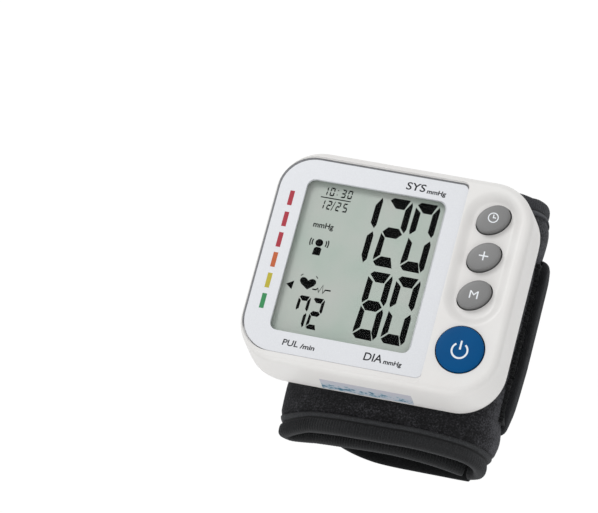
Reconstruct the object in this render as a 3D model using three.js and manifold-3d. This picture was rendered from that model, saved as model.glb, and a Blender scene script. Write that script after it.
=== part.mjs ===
// Wrist blood pressure monitor lying on its closed cuff, display up. Millimetres, +Z up.
// X runs along the row from the display to the buttons, Y up the display, and Z out of its face.
// Every piece is placed from the middle of the case, with Z = 0 on its face. At the end the whole
// group is moved, so that the origin is the middle of the box it fills, at its lowest point.
import * as THREE from 'three';
import { mergeVertices } from 'three/addons/utils/BufferGeometryUtils.js';
import Module from 'manifold-3d';

// What the case is laid out round: the display's window, and the column of buttons beside it
const windowLength = 41.6;
const windowMarginLeft = 9.2;
const windowMarginRight = 25.6;
const windowMarginBottom = 10;
const windowMarginTop = 9.1;
const powerInset = 13.1;
const memoryRise = 16.7;
const buttonPitch = 11.65;
const timeInset = 12.6;

// Case
const caseLength = windowLength + windowMarginLeft + windowMarginRight;
const caseWidth = powerInset + memoryRise + 2 * buttonPitch + timeInset;
const cornerRadius = 13;
const sideWall = 1.8;
const faceWall = 2.6;
const backWall = 1.8;
const faceTaperX = 0.3;
const faceTaperY = 0.6;
const rearHeight = 3.7;
const waistRise = 3.8;
const partingInset = 0.9;
const shoulderRadius = 2.8;
const heelRadius = 3.7;
const partingGap = 0.15;
const lipHeight = 1.2;
const lipWall = 1;

// Fits: what rests keeps the seat gap, what slides keeps the running gap
const seatGap = 0.3;
const runGap = 0.35;
const cutOver = 1;
const weldDistance = 1e-4;

// Display, with the printed panel's borders round the window
const windowWidth = caseWidth - windowMarginBottom - windowMarginTop;
const windowX = (windowMarginLeft - windowMarginRight) / 2;
const windowY = (windowMarginBottom - windowMarginTop) / 2;
const windowCorner = 2.4;
const panelBorderLeft = 6.7;
const panelBorderRight = 5;
const panelBorderBottom = 6.05;
const panelBorderTop = 5.55;
const panelLength = windowLength + panelBorderLeft + panelBorderRight;
const panelWidth = windowWidth + panelBorderBottom + panelBorderTop;
const panelX = windowX + (panelBorderRight - panelBorderLeft) / 2;
const panelY = windowY + (panelBorderTop - panelBorderBottom) / 2;
const panelThickness = 1;
const panelRecess = 0.6;
const panelCornerLeft = 9.8;
const panelCornerRight = 1.8;
const paneMargin = 0.8;
const lcdMargin = 0.6;
const lcdThickness = 2.2;
const holderWall = 1.4;
const holderFloor = 0.6;
const holderLedge = 2;
const zebraWidth = 2.4;
const zebraInset = 1.1;

// Main board
const boardThickness = 1.2;
const boardEdgeGap = 1.5;
const boardCornerRadius = 8;
const boardGap = 0.1;

// Buttons
const buttonInset = 11.3;
const buttonX = caseLength / 2 - buttonInset;
const powerY = -caseWidth / 2 + powerInset;
const memoryY = powerY + memoryRise;
const ovalLong = 5.25;
const ovalShort = 3.95;
const ovalTilt = 40;
const powerRadius = 7;
const buttonProud = 1.5;
const buttonRound = 0.7;
const buttonTravel = 0.6;
const pressGap = 0.2;
const flangeWidth = 0.8;
const flangeThickness = 0.8;
const switchSize = 4.2;
const rowRecessDepth = 0.7;
const rowRecessWidth = 15.6;
const rowRecessRun = 30;
const rowRecessRise = 0.15;
const rowRecessY = memoryY + buttonPitch + rowRecessRise;

// Cells and their tray
const cellRadius = 5.25;
const cellLength = 44.5;
const cellPitch = 10.9;
const cellX = -1;
const nubRadius = 1.9;
const nubHeight = 0.8;
const trayWall = 1.2;
const trayFloor = 1.8;
const doorSideGap = 0.1;
const doorTop = 7.1;
const doorLip = 1.1;
const doorLipWall = 1;
const contactThickness = 0.4;
const springRadius = 3.4;
const springTip = 1.6;
const springLength = 3.2;

// Air system
const pumpRadius = 5.6;
const motorLength = 17;
const pumpHeadLength = 8;
const pumpInset = 16.2;
const pumpX = caseLength / 2 - pumpInset;
const pumpEndInset = 5.85;
const portRadius = 1.1;
const portLength = 2.6;
const tubeRadius = 1.9;
const tubeBore = 1.2;
const manifoldLength = 10;
const manifoldWidth = 7;
const manifoldHeight = 5;
const manifoldY = 7;
const valveRadius = 4;
const valveLength = 12;
const sensorSize = 7;
const sensorHeight = 3.4;
const nippleGap = 1.3;
const nippleReach = 3.2;
const nippleRadius = 1.3;
const buzzerRadius = 6;
const buzzerHeight = 3;
const buzzerInset = 14.2;
const buzzerX = -caseLength / 2 + buzzerInset;

// Screws
const screwRadius = 1.1;
const screwLength = 8;
const screwHeadRadius = 2;
const screwHeadHeight = 1.3;
const bossRadius = 2.4;
const bossInsetX = 6.6;
const bossInsetY = 7;
const bossX = caseLength / 2 - bossInsetX;
const bossY = caseWidth / 2 - bossInsetY;
const bossRise = 2.1;
const screwSink = 1.9;
const slotWidth = 0.6;
const slotDepth = 0.6;

// Sticker
const labelLength = 27;
const labelHeight = 7.2;
const labelThickness = 0.12;
const labelGap = 0.05;
const labelX = 0.8;
const labelDepth = 6.9;

// Cuff
const cuffOverhang = 8.2;
const cuffWidth = caseWidth + 2 * cuffOverhang;
const cuffShiftY = -1.65;
const bandThickness = 3.4;
const bindingWidth = 5.5;
const bindingProud = 0.35;
const pocketThickness = 1.9;
const shaperThickness = 0.6;
const bladderThickness = 0.8;
const cuffScrewSpread = 13;
const cuffScrewX = 5;
const cuffScrewInset = 7.2;
const cuffScrewY = caseWidth / 2 - cuffScrewInset;
const strapThickness = 2.2;
const tailWidth = 51.5;
const tailShiftY = -1.1;
const hookThickness = 0.5;
const hookGap = 0.15;

// Sections of the cuff, seen along +Y: X as shares of the case's half length,
// and depth below the case as shares of the cuff's drop
const cuffDrop = 27.3;
const bandShares = [
  [0.74, 0.83], [0.84, 0.73], [0.872, 0.55], [0.85, 0.37], [0.77, 0.23], [0.6, 0.125], [0.4, 0.075],
  [0.2, 0.073], [0, 0.073], [-0.178, 0.085], [-0.356, 0.15], [-0.5235, 0.25], [-0.6491, 0.37],
  [-0.6779, 0.443], [-0.6675, 0.516], [-0.6334, 0.56], [-0.5811, 0.573], [-0.4607, 0.568], [-0.2513, 0.525],
  [-0.0314, 0.462], [0.17, 0.456], [0.36, 0.51], [0.53, 0.585],
];
const strapShares = [
  [-0.2827, 0.625], [-0.2565, 0.77], [-0.1728, 0.905], [-0.0524, 0.968], [0.12, 0.975], [0.34, 0.975],
  [0.56, 0.975], [0.69, 0.971], [0.773, 0.958],
];
const bandRestShare = 0.073;
const tailEndShares = [0.004, 0.098];
const hookEndShares = [0.02, 0.096];
const hookMargin = 1;
const shaperEndShares = [0.07, 0.93];
const bladderEndShares = [0.24, 0.86];
const pocketEndShares = [0.055, 0.945];

const steps = 8;
const bandSteps = 60;
const strapSteps = 24;
const tailSteps = 96;

// Depths that follow from the stack under the face
const panelTop = -panelRecess;
const paneTop = panelTop - panelThickness;
const lcdTop = -faceWall - seatGap;
const lcdBottom = lcdTop - lcdThickness;
const boardTop = lcdBottom - holderFloor - boardGap;
const boardBottom = boardTop - boardThickness;
const flangeBottom = -faceWall - seatGap - flangeThickness;
const switchTop = flangeBottom - buttonTravel - pressGap;
const cellZ = boardBottom - seatGap - cellRadius;
const trayTop = cellZ - cellRadius - seatGap;
const backInside = trayTop - trayFloor - seatGap;
const caseDepth = backWall - backInside;
const partingDepth = caseDepth - rearHeight;
const waistDepth = partingDepth - waistRise;
const bossTop = -partingDepth + bossRise;
const screwSeat = -caseDepth + screwSink + screwHeadHeight;
const cellEndY = caseWidth / 2 - sideWall - 2 * seatGap - contactThickness - nubHeight;
const cellStartY = cellEndY - cellLength;

const wasm = await Module();
wasm.setup();

const colours = {
  caseWhite: 0xe9e6e2, panelSilver: 0xdfe0e4, clear: 0xe8eeee, lcd: 0xaebaae, darkPlastic: 0x3a3b3d,
  rubber: 0x55504a, board: 0x2f6b3a, buttonGrey: 0x8a8a8a, buttonBlue: 0x035684, metal: 0xb9bcbe,
  cell: 0x4f5963, air: 0xd6d3cb, fabric: 0x1e1f21, binding: 0x28292a, hook: 0x131415, label: 0xd5d3dd,
  sheet: 0xd0d0cc, bladder: 0x8f8d86,
};

function material(name, roughness = 0.5, metalness = 0) {
  return new THREE.MeshStandardMaterial({ color: colours[name], roughness, metalness });
}

// Solids: three.js geometry in, joined and cut as closed meshes

function solid(geometry) {
  const bare = geometry.index ? geometry.toNonIndexed() : geometry.clone();
  bare.deleteAttribute('normal');
  bare.deleteAttribute('uv');
  const merged = mergeVertices(bare, weldDistance);
  return new wasm.Manifold(new wasm.Mesh({
    numProp: 3,
    vertProperties: new Float32Array(merged.attributes.position.array),
    triVerts: new Uint32Array(merged.index.array),
  }));
}

function geometryOf(manifold) {
  const mesh = manifold.getMesh();
  const geometry = new THREE.BufferGeometry();
  geometry.setAttribute('position', new THREE.BufferAttribute(mesh.vertProperties, 3));
  geometry.setIndex(new THREE.BufferAttribute(mesh.triVerts, 1));
  geometry.computeVertexNormals();
  return geometry;
}

function box(x0, x1, y0, y1, z0, z1) {
  const geometry = new THREE.BoxGeometry(x1 - x0, y1 - y0, z1 - z0);
  return geometry.translate((x0 + x1) / 2, (y0 + y1) / 2, (z0 + z1) / 2);
}

// A round bar between two heights, standing at x, y
function bar(x, y, radius, z0, z1, sides = 16) {
  const geometry = new THREE.CylinderGeometry(radius, radius, z1 - z0, sides);
  return geometry.rotateX(Math.PI / 2).translate(x, y, (z0 + z1) / 2);
}

// A round bar lying along Y
function barAlongY(x, z, radius, y0, y1, sides = 20) {
  const geometry = new THREE.CylinderGeometry(radius, radius, y1 - y0, sides);
  return geometry.translate(x, (y0 + y1) / 2, z);
}

function barAlongX(y, z, radius, x0, x1, sides = 20) {
  const geometry = new THREE.CylinderGeometry(radius, radius, x1 - x0, sides);
  return geometry.rotateZ(Math.PI / 2).translate((x0 + x1) / 2, y, z);
}

// A rectangle with its own radius at each side's corners: left, right
function roundedShape(length, width, leftRadius, rightRadius = leftRadius) {
  const shape = new THREE.Shape();
  const x = length / 2;
  const y = width / 2;
  shape.moveTo(-x + leftRadius, -y);
  shape.lineTo(x - rightRadius, -y);
  shape.absarc(x - rightRadius, -y + rightRadius, rightRadius, -Math.PI / 2, 0);
  shape.lineTo(x, y - rightRadius);
  shape.absarc(x - rightRadius, y - rightRadius, rightRadius, 0, Math.PI / 2);
  shape.lineTo(-x + leftRadius, y);
  shape.absarc(-x + leftRadius, y - leftRadius, leftRadius, Math.PI / 2, Math.PI);
  shape.lineTo(-x, -y + leftRadius);
  shape.absarc(-x + leftRadius, -y + leftRadius, leftRadius, Math.PI, 1.5 * Math.PI);
  return shape;
}

// A flat outline raised from z0 to z1, with rounded rims of radius round if it is given
function plate(shape, z0, z1, round = 0, curveSegments = steps) {
  const geometry = new THREE.ExtrudeGeometry(shape, {
    depth: z1 - z0 - 2 * round,
    bevelEnabled: round > 0,
    bevelThickness: round,
    bevelSize: round,
    bevelOffset: -round,
    bevelSegments: 3,
    curveSegments,
  });
  return geometry.translate(0, 0, z0 + round);
}

function ellipseShape(long, short, tilt = 0) {
  const shape = new THREE.Shape();
  shape.absellipse(0, 0, long, short, 0, 2 * Math.PI, false, THREE.MathUtils.degToRad(tilt));
  return shape;
}

// The case's outline widens from its face down to the waist, and draws in again to the parting
function drawIn(geometry) {
  const position = geometry.attributes.position;
  for (let i = 0; i < position.count; i += 1) {
    const depth = -position.getZ(i);
    const rise = Math.max(1 - depth / waistDepth, 0);
    const fall = Math.max((depth - waistDepth) / (partingDepth - waistDepth), 0);
    const shareX = 1 - (faceTaperX * rise + partingInset * fall) / (caseLength / 2);
    const shareY = 1 - (faceTaperY * rise + partingInset * fall) / (caseWidth / 2);
    position.setX(i, position.getX(i) * shareX);
    position.setY(i, position.getY(i) * shareY);
  }
  return geometry;
}

// The case as a body: its outer skin, or with an inset, the room inside the wall
function caseBody(inset, z0, z1, round) {
  const shape = roundedShape(caseLength - 2 * inset, caseWidth - 2 * inset, cornerRadius - inset);
  const geometry = new THREE.ExtrudeGeometry(shape, {
    depth: z1 - z0 - 2 * round,
    steps: 4,
    bevelThickness: round,
    bevelSize: round,
    bevelOffset: -round,
    bevelSegments: 3,
    curveSegments: 5,
  });
  return solid(drawIn(geometry.translate(0, 0, z0 + round)));
}

function slab(z0, z1) {
  return solid(box(-caseLength, caseLength, -caseWidth, caseWidth, z0, z1));
}

const pieces = new THREE.Group();

function add(name, shape, look) {
  const geometry = shape instanceof THREE.BufferGeometry ? shape : geometryOf(shape);
  const mesh = new THREE.Mesh(geometry, look);
  mesh.name = name;
  pieces.add(mesh);
  return mesh;
}

// The row of oval buttons and the round one: name, height up the display, outline
const buttons = [
  { name: 'time', y: memoryY + 2 * buttonPitch, oval: true },
  { name: 'plus', y: memoryY + buttonPitch, oval: true },
  { name: 'memory', y: memoryY, oval: true },
  { name: 'power', y: powerY, oval: false },
];

function buttonOutline(button, grow) {
  return button.oval
    ? ellipseShape(ovalLong + grow, ovalShort + grow, ovalTilt)
    : ellipseShape(powerRadius + grow, powerRadius + grow);
}

function buttonPlate(button, grow, z0, z1, round = 0) {
  return plate(buttonOutline(button, grow), z0, z1, round, 10).translate(buttonX, button.y, 0);
}

const corners = [[-1, -1], [1, -1], [1, 1], [-1, 1]];

// Front cover: shell with the panel's recess, the window, the button holes and the battery opening
const trayX = [cellX - cellPitch / 2 - cellRadius - seatGap, cellX + cellPitch / 2 + cellRadius + seatGap];
const doorX = [trayX[0] - trayWall - doorSideGap, trayX[1] + trayWall + doorSideGap];
const nippleX = trayX[1] + trayWall + nippleGap + nippleRadius;
const doorInner = caseWidth / 2 - sideWall;

function doorRoom(grow) {
  return solid(box(
    doorX[0] - grow, doorX[1] + grow, doorInner - cutOver * 2, caseWidth / 2 + cutOver,
    -partingDepth - cutOver, -doorTop + grow,
  ));
}

function frontCover() {
  const skinBottom = -partingDepth - heelRadius - cutOver;
  let cover = caseBody(0, skinBottom, 0, shoulderRadius);
  cover = cover.subtract(caseBody(sideWall, skinBottom, -faceWall, shoulderRadius / 2));
  cover = cover.intersect(slab(-partingDepth, cutOver));
  const recess = plate(
    roundedShape(panelLength + 2 * seatGap, panelWidth + 2 * seatGap, panelCornerLeft, panelCornerRight),
    panelTop - panelThickness, cutOver,
  );
  cover = cover.subtract(solid(recess.translate(panelX, panelY, 0)));
  const paneRoom = 2 * (paneMargin + seatGap);
  const opening = plate(
    roundedShape(windowLength + paneRoom, windowWidth + paneRoom, windowCorner), -faceWall - cutOver, cutOver,
  );
  cover = cover.subtract(solid(opening.translate(windowX, windowY, 0)));
  const rowRecess = plate(
    roundedShape(rowRecessWidth, rowRecessRun + 2 * buttonRound + rowRecessWidth / 2, rowRecessWidth / 2),
    -rowRecessDepth, rowRecessDepth, rowRecessDepth / 2,
  );
  cover = cover.subtract(solid(rowRecess.translate(buttonX, rowRecessY, 0)));
  for (const button of buttons) {
    cover = cover.subtract(solid(buttonPlate(button, runGap, -faceWall - cutOver, cutOver)));
  }
  for (const [sx, sy] of corners) {
    const post = solid(bar(sx * bossX, sy * bossY, bossRadius, bossTop + seatGap, -faceWall + seatGap));
    const hole = solid(bar(sx * bossX, sy * bossY, screwRadius + seatGap, bossTop, bossTop + screwLength));
    cover = cover.add(post).subtract(hole);
  }
  return cover.subtract(doorRoom(runGap));
}

// Rear cover: shallow dish with a lip that stands inside the front cover, and screw bosses
function cuffScrewPlaces() {
  return corners.map(([sx, sy]) => [cuffScrewX + sx * cuffScrewSpread / 2, sy * cuffScrewY]);
}

const throughBack = [-caseDepth - cutOver, backInside + cutOver];

function rearCover() {
  const skinTop = partingDepth - shoulderRadius;
  let cover = caseBody(0, -caseDepth, -skinTop + cutOver, heelRadius);
  cover = cover.subtract(caseBody(sideWall, backInside, cutOver, heelRadius / 2));
  cover = cover.intersect(slab(-caseDepth, -partingDepth - partingGap));
  let lip = caseBody(sideWall + seatGap, -caseDepth, cutOver, heelRadius / 2);
  lip = lip.subtract(caseBody(sideWall + seatGap + lipWall, -caseDepth, cutOver, heelRadius / 2));
  lip = lip.intersect(slab(backInside, -partingDepth + lipHeight));
  const doorway = doorX.map((x, i) => x + (i ? 2 : -2) * trayWall);
  lip = lip.subtract(solid(box(...doorway, doorInner - 2 * heelRadius, caseWidth, -caseDepth, cutOver)));
  for (const [sx, sy] of corners) {
    const notch = bar(
      sx * bossX, sy * bossY, bossRadius + seatGap, backInside, -partingDepth + lipHeight + cutOver,
    );
    lip = lip.subtract(solid(notch));
  }
  cover = cover.add(lip);
  // The bosses join the wall below the parting, and stand clear of the front cover above it
  const joined = caseBody(sideWall / 2, -caseDepth + backWall / 2, cutOver, heelRadius - sideWall / 2)
    .intersect(slab(-caseDepth, -partingDepth - partingGap));
  const bossRoom = joined.add(caseBody(sideWall + seatGap, backInside, cutOver, heelRadius / 2));
  for (const [sx, sy] of corners) {
    const boss = bar(sx * bossX, sy * bossY, bossRadius, -caseDepth, bossTop);
    const hole = bar(sx * bossX, sy * bossY, screwRadius + seatGap, -caseDepth - cutOver, bossTop + cutOver);
    const sink = bar(
      sx * bossX, sy * bossY, screwHeadRadius + seatGap, -caseDepth - cutOver, screwSeat + seatGap,
    );
    cover = cover.add(solid(boss).intersect(bossRoom)).subtract(solid(hole)).subtract(solid(sink));
  }
  for (const [x, y] of cuffScrewPlaces()) {
    cover = cover.subtract(solid(bar(x, y, screwRadius + seatGap, ...throughBack)));
  }
  return cover.subtract(solid(bar(nippleX, manifoldY, nippleRadius + runGap, ...throughBack)));
}

add('front_cover', frontCover(), material('caseWhite', 0.35));
add('rear_cover', rearCover(), material('caseWhite', 0.45));

// Display: printed panel, clear pane, liquid crystal glass, its holder and contact strip
function displayPanel() {
  const outer = plate(
    roundedShape(panelLength, panelWidth, panelCornerLeft - seatGap, panelCornerRight - seatGap),
    paneTop, panelTop,
  );
  const opening = plate(
    roundedShape(windowLength, windowWidth, windowCorner), paneTop - cutOver, panelTop + cutOver,
  );
  return solid(outer.translate(panelX, panelY, 0)).subtract(solid(opening.translate(windowX, windowY, 0)));
}

function overWindow(margin, z0, z1, radius = windowCorner) {
  const shape = roundedShape(windowLength + 2 * margin, windowWidth + 2 * margin, radius);
  return plate(shape, z0, z1).translate(windowX, windowY, 0);
}

function lcdHolder() {
  const bottom = lcdBottom - holderFloor;
  const outer = solid(overWindow(lcdMargin + seatGap + holderWall, bottom, -faceWall));
  const room = solid(overWindow(lcdMargin + seatGap, lcdBottom, 0, windowCorner / 2));
  const view = solid(overWindow(lcdMargin - holderLedge, bottom - cutOver, 0));
  const zebraX = windowX + windowLength / 2 + lcdMargin - zebraInset;
  const slot = solid(box(
    zebraX - zebraWidth - seatGap, zebraX + seatGap, windowY - windowWidth / 2 - seatGap,
    windowY + windowWidth / 2 + seatGap, bottom - cutOver, lcdBottom + holderFloor / 2,
  ));
  let holder = outer.subtract(room).subtract(view).subtract(slot);
  for (const [sx, sy] of corners) {
    holder = holder.subtract(solid(bar(sx * bossX, sy * bossY, bossRadius + seatGap, bottom - cutOver, 0)));
  }
  return holder;
}

add('display_panel', displayPanel(), material('panelSilver', 0.3, 0.2));
add('window_pane', overWindow(paneMargin, -faceWall, paneTop), material('clear', 0.05));
add('lcd_glass', overWindow(lcdMargin, lcdBottom, lcdTop, windowCorner / 2), material('lcd', 0.3));
add('lcd_holder', lcdHolder(), material('darkPlastic', 0.6));
const zebraEnd = windowX + windowLength / 2 + lcdMargin - zebraInset;
add('contact_strip', box(
  zebraEnd - zebraWidth, zebraEnd, windowY - windowWidth / 2, windowY + windowWidth / 2, boardTop, lcdBottom,
), material('rubber', 0.8));

// Main board, notched round the four posts of the front cover
const boardHalfX = caseLength / 2 - faceTaperX - sideWall - boardEdgeGap;
const boardHalfY = caseWidth / 2 - faceTaperY - sideWall - boardEdgeGap;

function mainBoard() {
  let board = solid(plate(
    roundedShape(2 * boardHalfX, 2 * boardHalfY, boardCornerRadius), boardBottom, boardTop,
  ));
  for (const [sx, sy] of corners) {
    const post = bar(sx * bossX, sy * bossY, bossRadius + seatGap, boardBottom - cutOver, boardTop + cutOver);
    board = board.subtract(solid(post));
  }
  return board;
}

add('main_board', mainBoard(), material('board', 0.5));

// Buttons: a cap with a flange that keeps it under the cover, over its switch on the board
function pushButton(button) {
  const cap = solid(buttonPlate(button, 0, flangeBottom + flangeThickness / 2, buttonProud, buttonRound));
  const flange = solid(buttonPlate(button, runGap + flangeWidth, flangeBottom, -faceWall - seatGap));
  let shape = cap.add(flange);
  const postEnd = -faceWall + 2 * seatGap + buttonTravel;
  for (const [sx, sy] of corners) {
    const post = bar(sx * bossX, sy * bossY, bossRadius + runGap, -2 * faceWall, postEnd);
    shape = shape.subtract(solid(post));
  }
  return shape;
}

for (const button of buttons) {
  const look = button.oval ? material('buttonGrey', 0.45) : material('buttonBlue', 0.35);
  add(`${button.name}_button`, pushButton(button), look);
  const half = switchSize / 2;
  add(`${button.name}_switch`, box(
    buttonX - half, buttonX + half, button.y - half, button.y + half, boardTop, switchTop,
  ), material('darkPlastic', 0.5));
}

// Battery tray, cells side by side, springs at the inner end and the door's bridge at the outer end
const trayY = [cellStartY - seatGap - springLength - 2 * contactThickness, doorInner - doorLip - seatGap];

function batteryTray() {
  const outer = solid(box(
    trayX[0] - trayWall, trayX[1] + trayWall, trayY[0] - trayWall, trayY[1],
    backInside + seatGap, boardBottom - seatGap,
  ));
  const room = solid(box(trayX[0], trayX[1], trayY[0], trayY[1] + cutOver, trayTop, boardBottom + cutOver));
  const insideCase = caseBody(sideWall + seatGap, backInside + seatGap, cutOver, heelRadius / 2);
  return outer.subtract(room).intersect(insideCase);
}

function cell(x, turned) {
  const sides = 20;
  const body = solid(barAlongY(x, cellZ, cellRadius, cellStartY, cellEndY, sides));
  const nubStart = turned ? cellStartY - nubHeight : cellEndY - nubHeight;
  return body.add(solid(barAlongY(x, cellZ, nubRadius, nubStart, nubStart + 2 * nubHeight, sides)));
}

function cellSpring(x) {
  const profile = [
    new THREE.Vector2(0, 0),
    new THREE.Vector2(springRadius, 0),
    new THREE.Vector2(springRadius, contactThickness),
    new THREE.Vector2(springTip, springLength - nubHeight),
    new THREE.Vector2(0, springLength - nubHeight),
  ];
  const geometry = new THREE.LatheGeometry(profile, 18);
  return geometry.translate(x, trayY[0] + contactThickness + seatGap / 2, cellZ);
}

const cellPlaces = [cellX - cellPitch / 2, cellX + cellPitch / 2];
add('battery_tray', batteryTray(), material('darkPlastic', 0.6));
cellPlaces.forEach((x, i) => {
  add(`cell_${i + 1}`, cell(x, i === 0), material('cell', 0.35, 0.4));
  add(`cell_spring_${i + 1}`, cellSpring(x), material('metal', 0.3, 0.9));
  add(`spring_plate_${i + 1}`, box(
    x - cellRadius + seatGap, x + cellRadius - seatGap, trayY[0], trayY[0] + contactThickness,
    cellZ - cellRadius + seatGap, cellZ + cellRadius - seatGap,
  ), material('metal', 0.3, 0.9));
});

// Battery door: the piece of the case's own wall that fills the opening, with a lip behind the edge
function batteryDoor() {
  const skinBottom = -partingDepth - heelRadius - cutOver;
  const wall = caseBody(0, skinBottom, 0, shoulderRadius)
    .subtract(caseBody(sideWall, skinBottom, -faceWall, shoulderRadius / 2));
  const room = solid(box(
    doorX[0], doorX[1], doorInner - cutOver * 2, caseWidth / 2 + cutOver, -partingDepth + seatGap, -doorTop,
  ));
  const lip = solid(box(
    doorX[0] + doorLipWall, doorX[1] - doorLipWall, doorInner - doorLip / 2, doorInner + sideWall / 2,
    -partingDepth + lipHeight, -doorTop - doorLipWall,
  ));
  return wall.intersect(room).add(lip);
}

add('battery_door', batteryDoor(), material('caseWhite', 0.4));
const bridgeY = doorInner - doorLip / 2;
add('door_bridge', box(
  cellPlaces[0] - cellRadius / 2, cellPlaces[1] + cellRadius / 2, bridgeY - contactThickness, bridgeY,
  cellZ - nubRadius, cellZ + nubRadius,
), material('metal', 0.3, 0.9));

// Air system: motor and pump head, manifold, release valve, pressure sensor, tubes, buzzer
const airZ = backInside + seatGap + pumpRadius;
const motorEnd = -caseWidth / 2 + pumpEndInset;
const motorY = [motorEnd, motorEnd + motorLength];
const headY = [motorY[1] + seatGap, motorY[1] + seatGap + pumpHeadLength];
const manifoldZ = backInside + seatGap + manifoldHeight / 2;

function withPort(body, port) {
  return solid(body).add(solid(port));
}

add('pump_motor', barAlongY(pumpX, airZ, pumpRadius, motorY[0], motorY[1], 24), material('metal', 0.35, 0.9));
add('pump_head', withPort(
  box(pumpX - pumpRadius, pumpX + pumpRadius, headY[0], headY[1], airZ - pumpRadius, airZ + pumpRadius),
  barAlongY(pumpX, manifoldZ, portRadius, headY[1] - portLength, headY[1] + portLength, 12),
), material('air', 0.5));

const manifoldX = [nippleX + nippleReach, nippleX + nippleReach + manifoldLength];
const manifoldYs = [manifoldY - manifoldWidth / 2, manifoldY + manifoldWidth / 2];
let manifold = solid(box(
  manifoldX[0], manifoldX[1], manifoldYs[0], manifoldYs[1],
  manifoldZ - manifoldHeight / 2, manifoldZ + manifoldHeight / 2,
));
const sensorX = manifoldX[0] + manifoldLength / 4;
const manifoldTop = manifoldZ + manifoldHeight / 2;
const nippleSide = nippleX + nippleRadius + seatGap;
const manifoldPorts = [
  barAlongY(pumpX, manifoldZ, portRadius, manifoldYs[0] - portLength, manifoldYs[0] + portRadius, 12),
  barAlongX(manifoldY, manifoldZ, portRadius, nippleSide, manifoldX[0] + portRadius, 12),
  bar(sensorX, manifoldY, portRadius, manifoldZ, manifoldTop + portLength, 12),
];
for (const port of manifoldPorts) {
  manifold = manifold.add(solid(port));
}
add('air_manifold', manifold, material('air', 0.5));

// A hose pushed over two ports: a ring section drawn out along the line between its ends
function hose(from, to) {
  const section = new THREE.Shape();
  section.absarc(0, 0, tubeRadius, 0, 2 * Math.PI);
  const bore = new THREE.Path();
  bore.absarc(0, 0, tubeBore, 0, 2 * Math.PI, true);
  section.holes.push(bore);
  return new THREE.ExtrudeGeometry(section, {
    steps: 1, curveSegments: 5, bevelEnabled: false, extrudePath: new THREE.LineCurve3(from, to),
  });
}

add('pump_hose', hose(
  new THREE.Vector3(pumpX, headY[1] + seatGap, manifoldZ),
  new THREE.Vector3(pumpX, manifoldYs[0] - seatGap, manifoldZ),
), material('air', 0.7));

const valveY = manifoldYs[1] + seatGap + valveRadius;
const valveX = [pumpX - valveLength / 2, pumpX + valveLength / 2];
add('air_valve', barAlongX(
  valveY, backInside + seatGap + valveRadius, valveRadius, ...valveX, 20,
), material('metal', 0.4, 0.8));

const sensorZ = boardBottom - sensorHeight;
const sensorHalf = sensorSize / 2;
add('pressure_sensor', withPort(
  box(
    sensorX - sensorHalf, sensorX + sensorHalf, manifoldY - sensorHalf, manifoldY + sensorHalf,
    sensorZ, boardBottom,
  ),
  bar(sensorX, manifoldY, portRadius, sensorZ - portRadius, sensorZ + portRadius, 12),
), material('darkPlastic', 0.5));
add('buzzer', bar(
  buzzerX, 0, buzzerRadius, boardBottom - buzzerHeight, boardBottom, 24,
), material('darkPlastic', 0.5));

// Screws: countersunk into the back, one to each corner of the case, and four that hold the cuff
function screw(x, y, headZ, length) {
  const slot = box(
    x - screwHeadRadius * 2, x + screwHeadRadius * 2, y - slotWidth / 2, y + slotWidth / 2,
    headZ - cutOver, headZ + slotDepth,
  );
  return solid(bar(x, y, screwHeadRadius, headZ, headZ + screwHeadHeight, 14))
    .add(solid(bar(x, y, screwRadius, headZ + screwHeadHeight / 2, headZ + length, 10)))
    .subtract(solid(slot));
}

corners.forEach(([sx, sy], i) => {
  const head = screwSeat - screwHeadHeight;
  add(`case_screw_${i + 1}`, screw(sx * bossX, sy * bossY, head, screwLength), material('metal', 0.35, 0.9));
});

// Cuff: each soft layer is a ribbon whose section follows one line, drawn out across the wrist
function sectionPoints(shares) {
  return shares.map(([shareX, shareZ]) => new THREE.Vector2(
    shareX * caseLength / 2, -caseDepth - shareZ * cuffDrop,
  ));
}

// Outline of a ribbon along a line, from share a to share b of it, between two offsets from it
function ribbon(points, from, to, inner, outer, count = bandSteps) {
  const curve = new THREE.SplineCurve(points);
  const rails = [[], []];
  const between = Array.from({ length: count }, (_, i) => i / count);
  for (const share of [from, ...between.filter((s) => s > from && s < to), to]) {
    const point = curve.getPointAt(share);
    const along = curve.getTangentAt(share);
    const side = new THREE.Vector2(along.y, -along.x);
    rails[0].push(point.clone().addScaledVector(side, inner));
    rails[1].push(point.clone().addScaledVector(side, outer));
  }
  return new THREE.Shape([...rails[0], ...rails[1].reverse()]);
}

// Draws a section in the X and Z plane out along Y
function drawOut(shape, y0, y1) {
  const geometry = new THREE.ExtrudeGeometry(shape, { depth: y1 - y0, bevelEnabled: false });
  return geometry.rotateX(Math.PI / 2).translate(0, y1, 0);
}

const band = sectionPoints(bandShares);
const bandHalf = bandThickness / 2;
const bindingHalf = bandHalf + bindingProud;
const bandMiddle = -caseDepth - bandRestShare * cuffDrop;
const cuffY = [cuffShiftY - cuffWidth / 2, cuffShiftY + cuffWidth / 2];
const bandY = [cuffY[0] + bindingWidth + seatGap, cuffY[1] - bindingWidth - seatGap];

function cuffBand() {
  const section = ribbon(band, 0, 1, -bandHalf, bandHalf);
  const pocket = ribbon(band, ...pocketEndShares, -pocketThickness / 2, pocketThickness / 2);
  let cover = solid(drawOut(section, bandY[0], bandY[1]));
  cover = cover.subtract(solid(drawOut(pocket, bandY[0] - cutOver, bandY[1] + cutOver)));
  for (const [x, y] of cuffScrewPlaces()) {
    const top = -caseDepth + seatGap;
    cover = cover.subtract(solid(bar(x, y, screwHeadRadius + seatGap, top - 2 * bandThickness, top)));
  }
  const nippleRoom = bar(nippleX, manifoldY, nippleRadius + runGap, bandMiddle, -caseDepth + seatGap);
  return cover.subtract(solid(nippleRoom));
}

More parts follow.
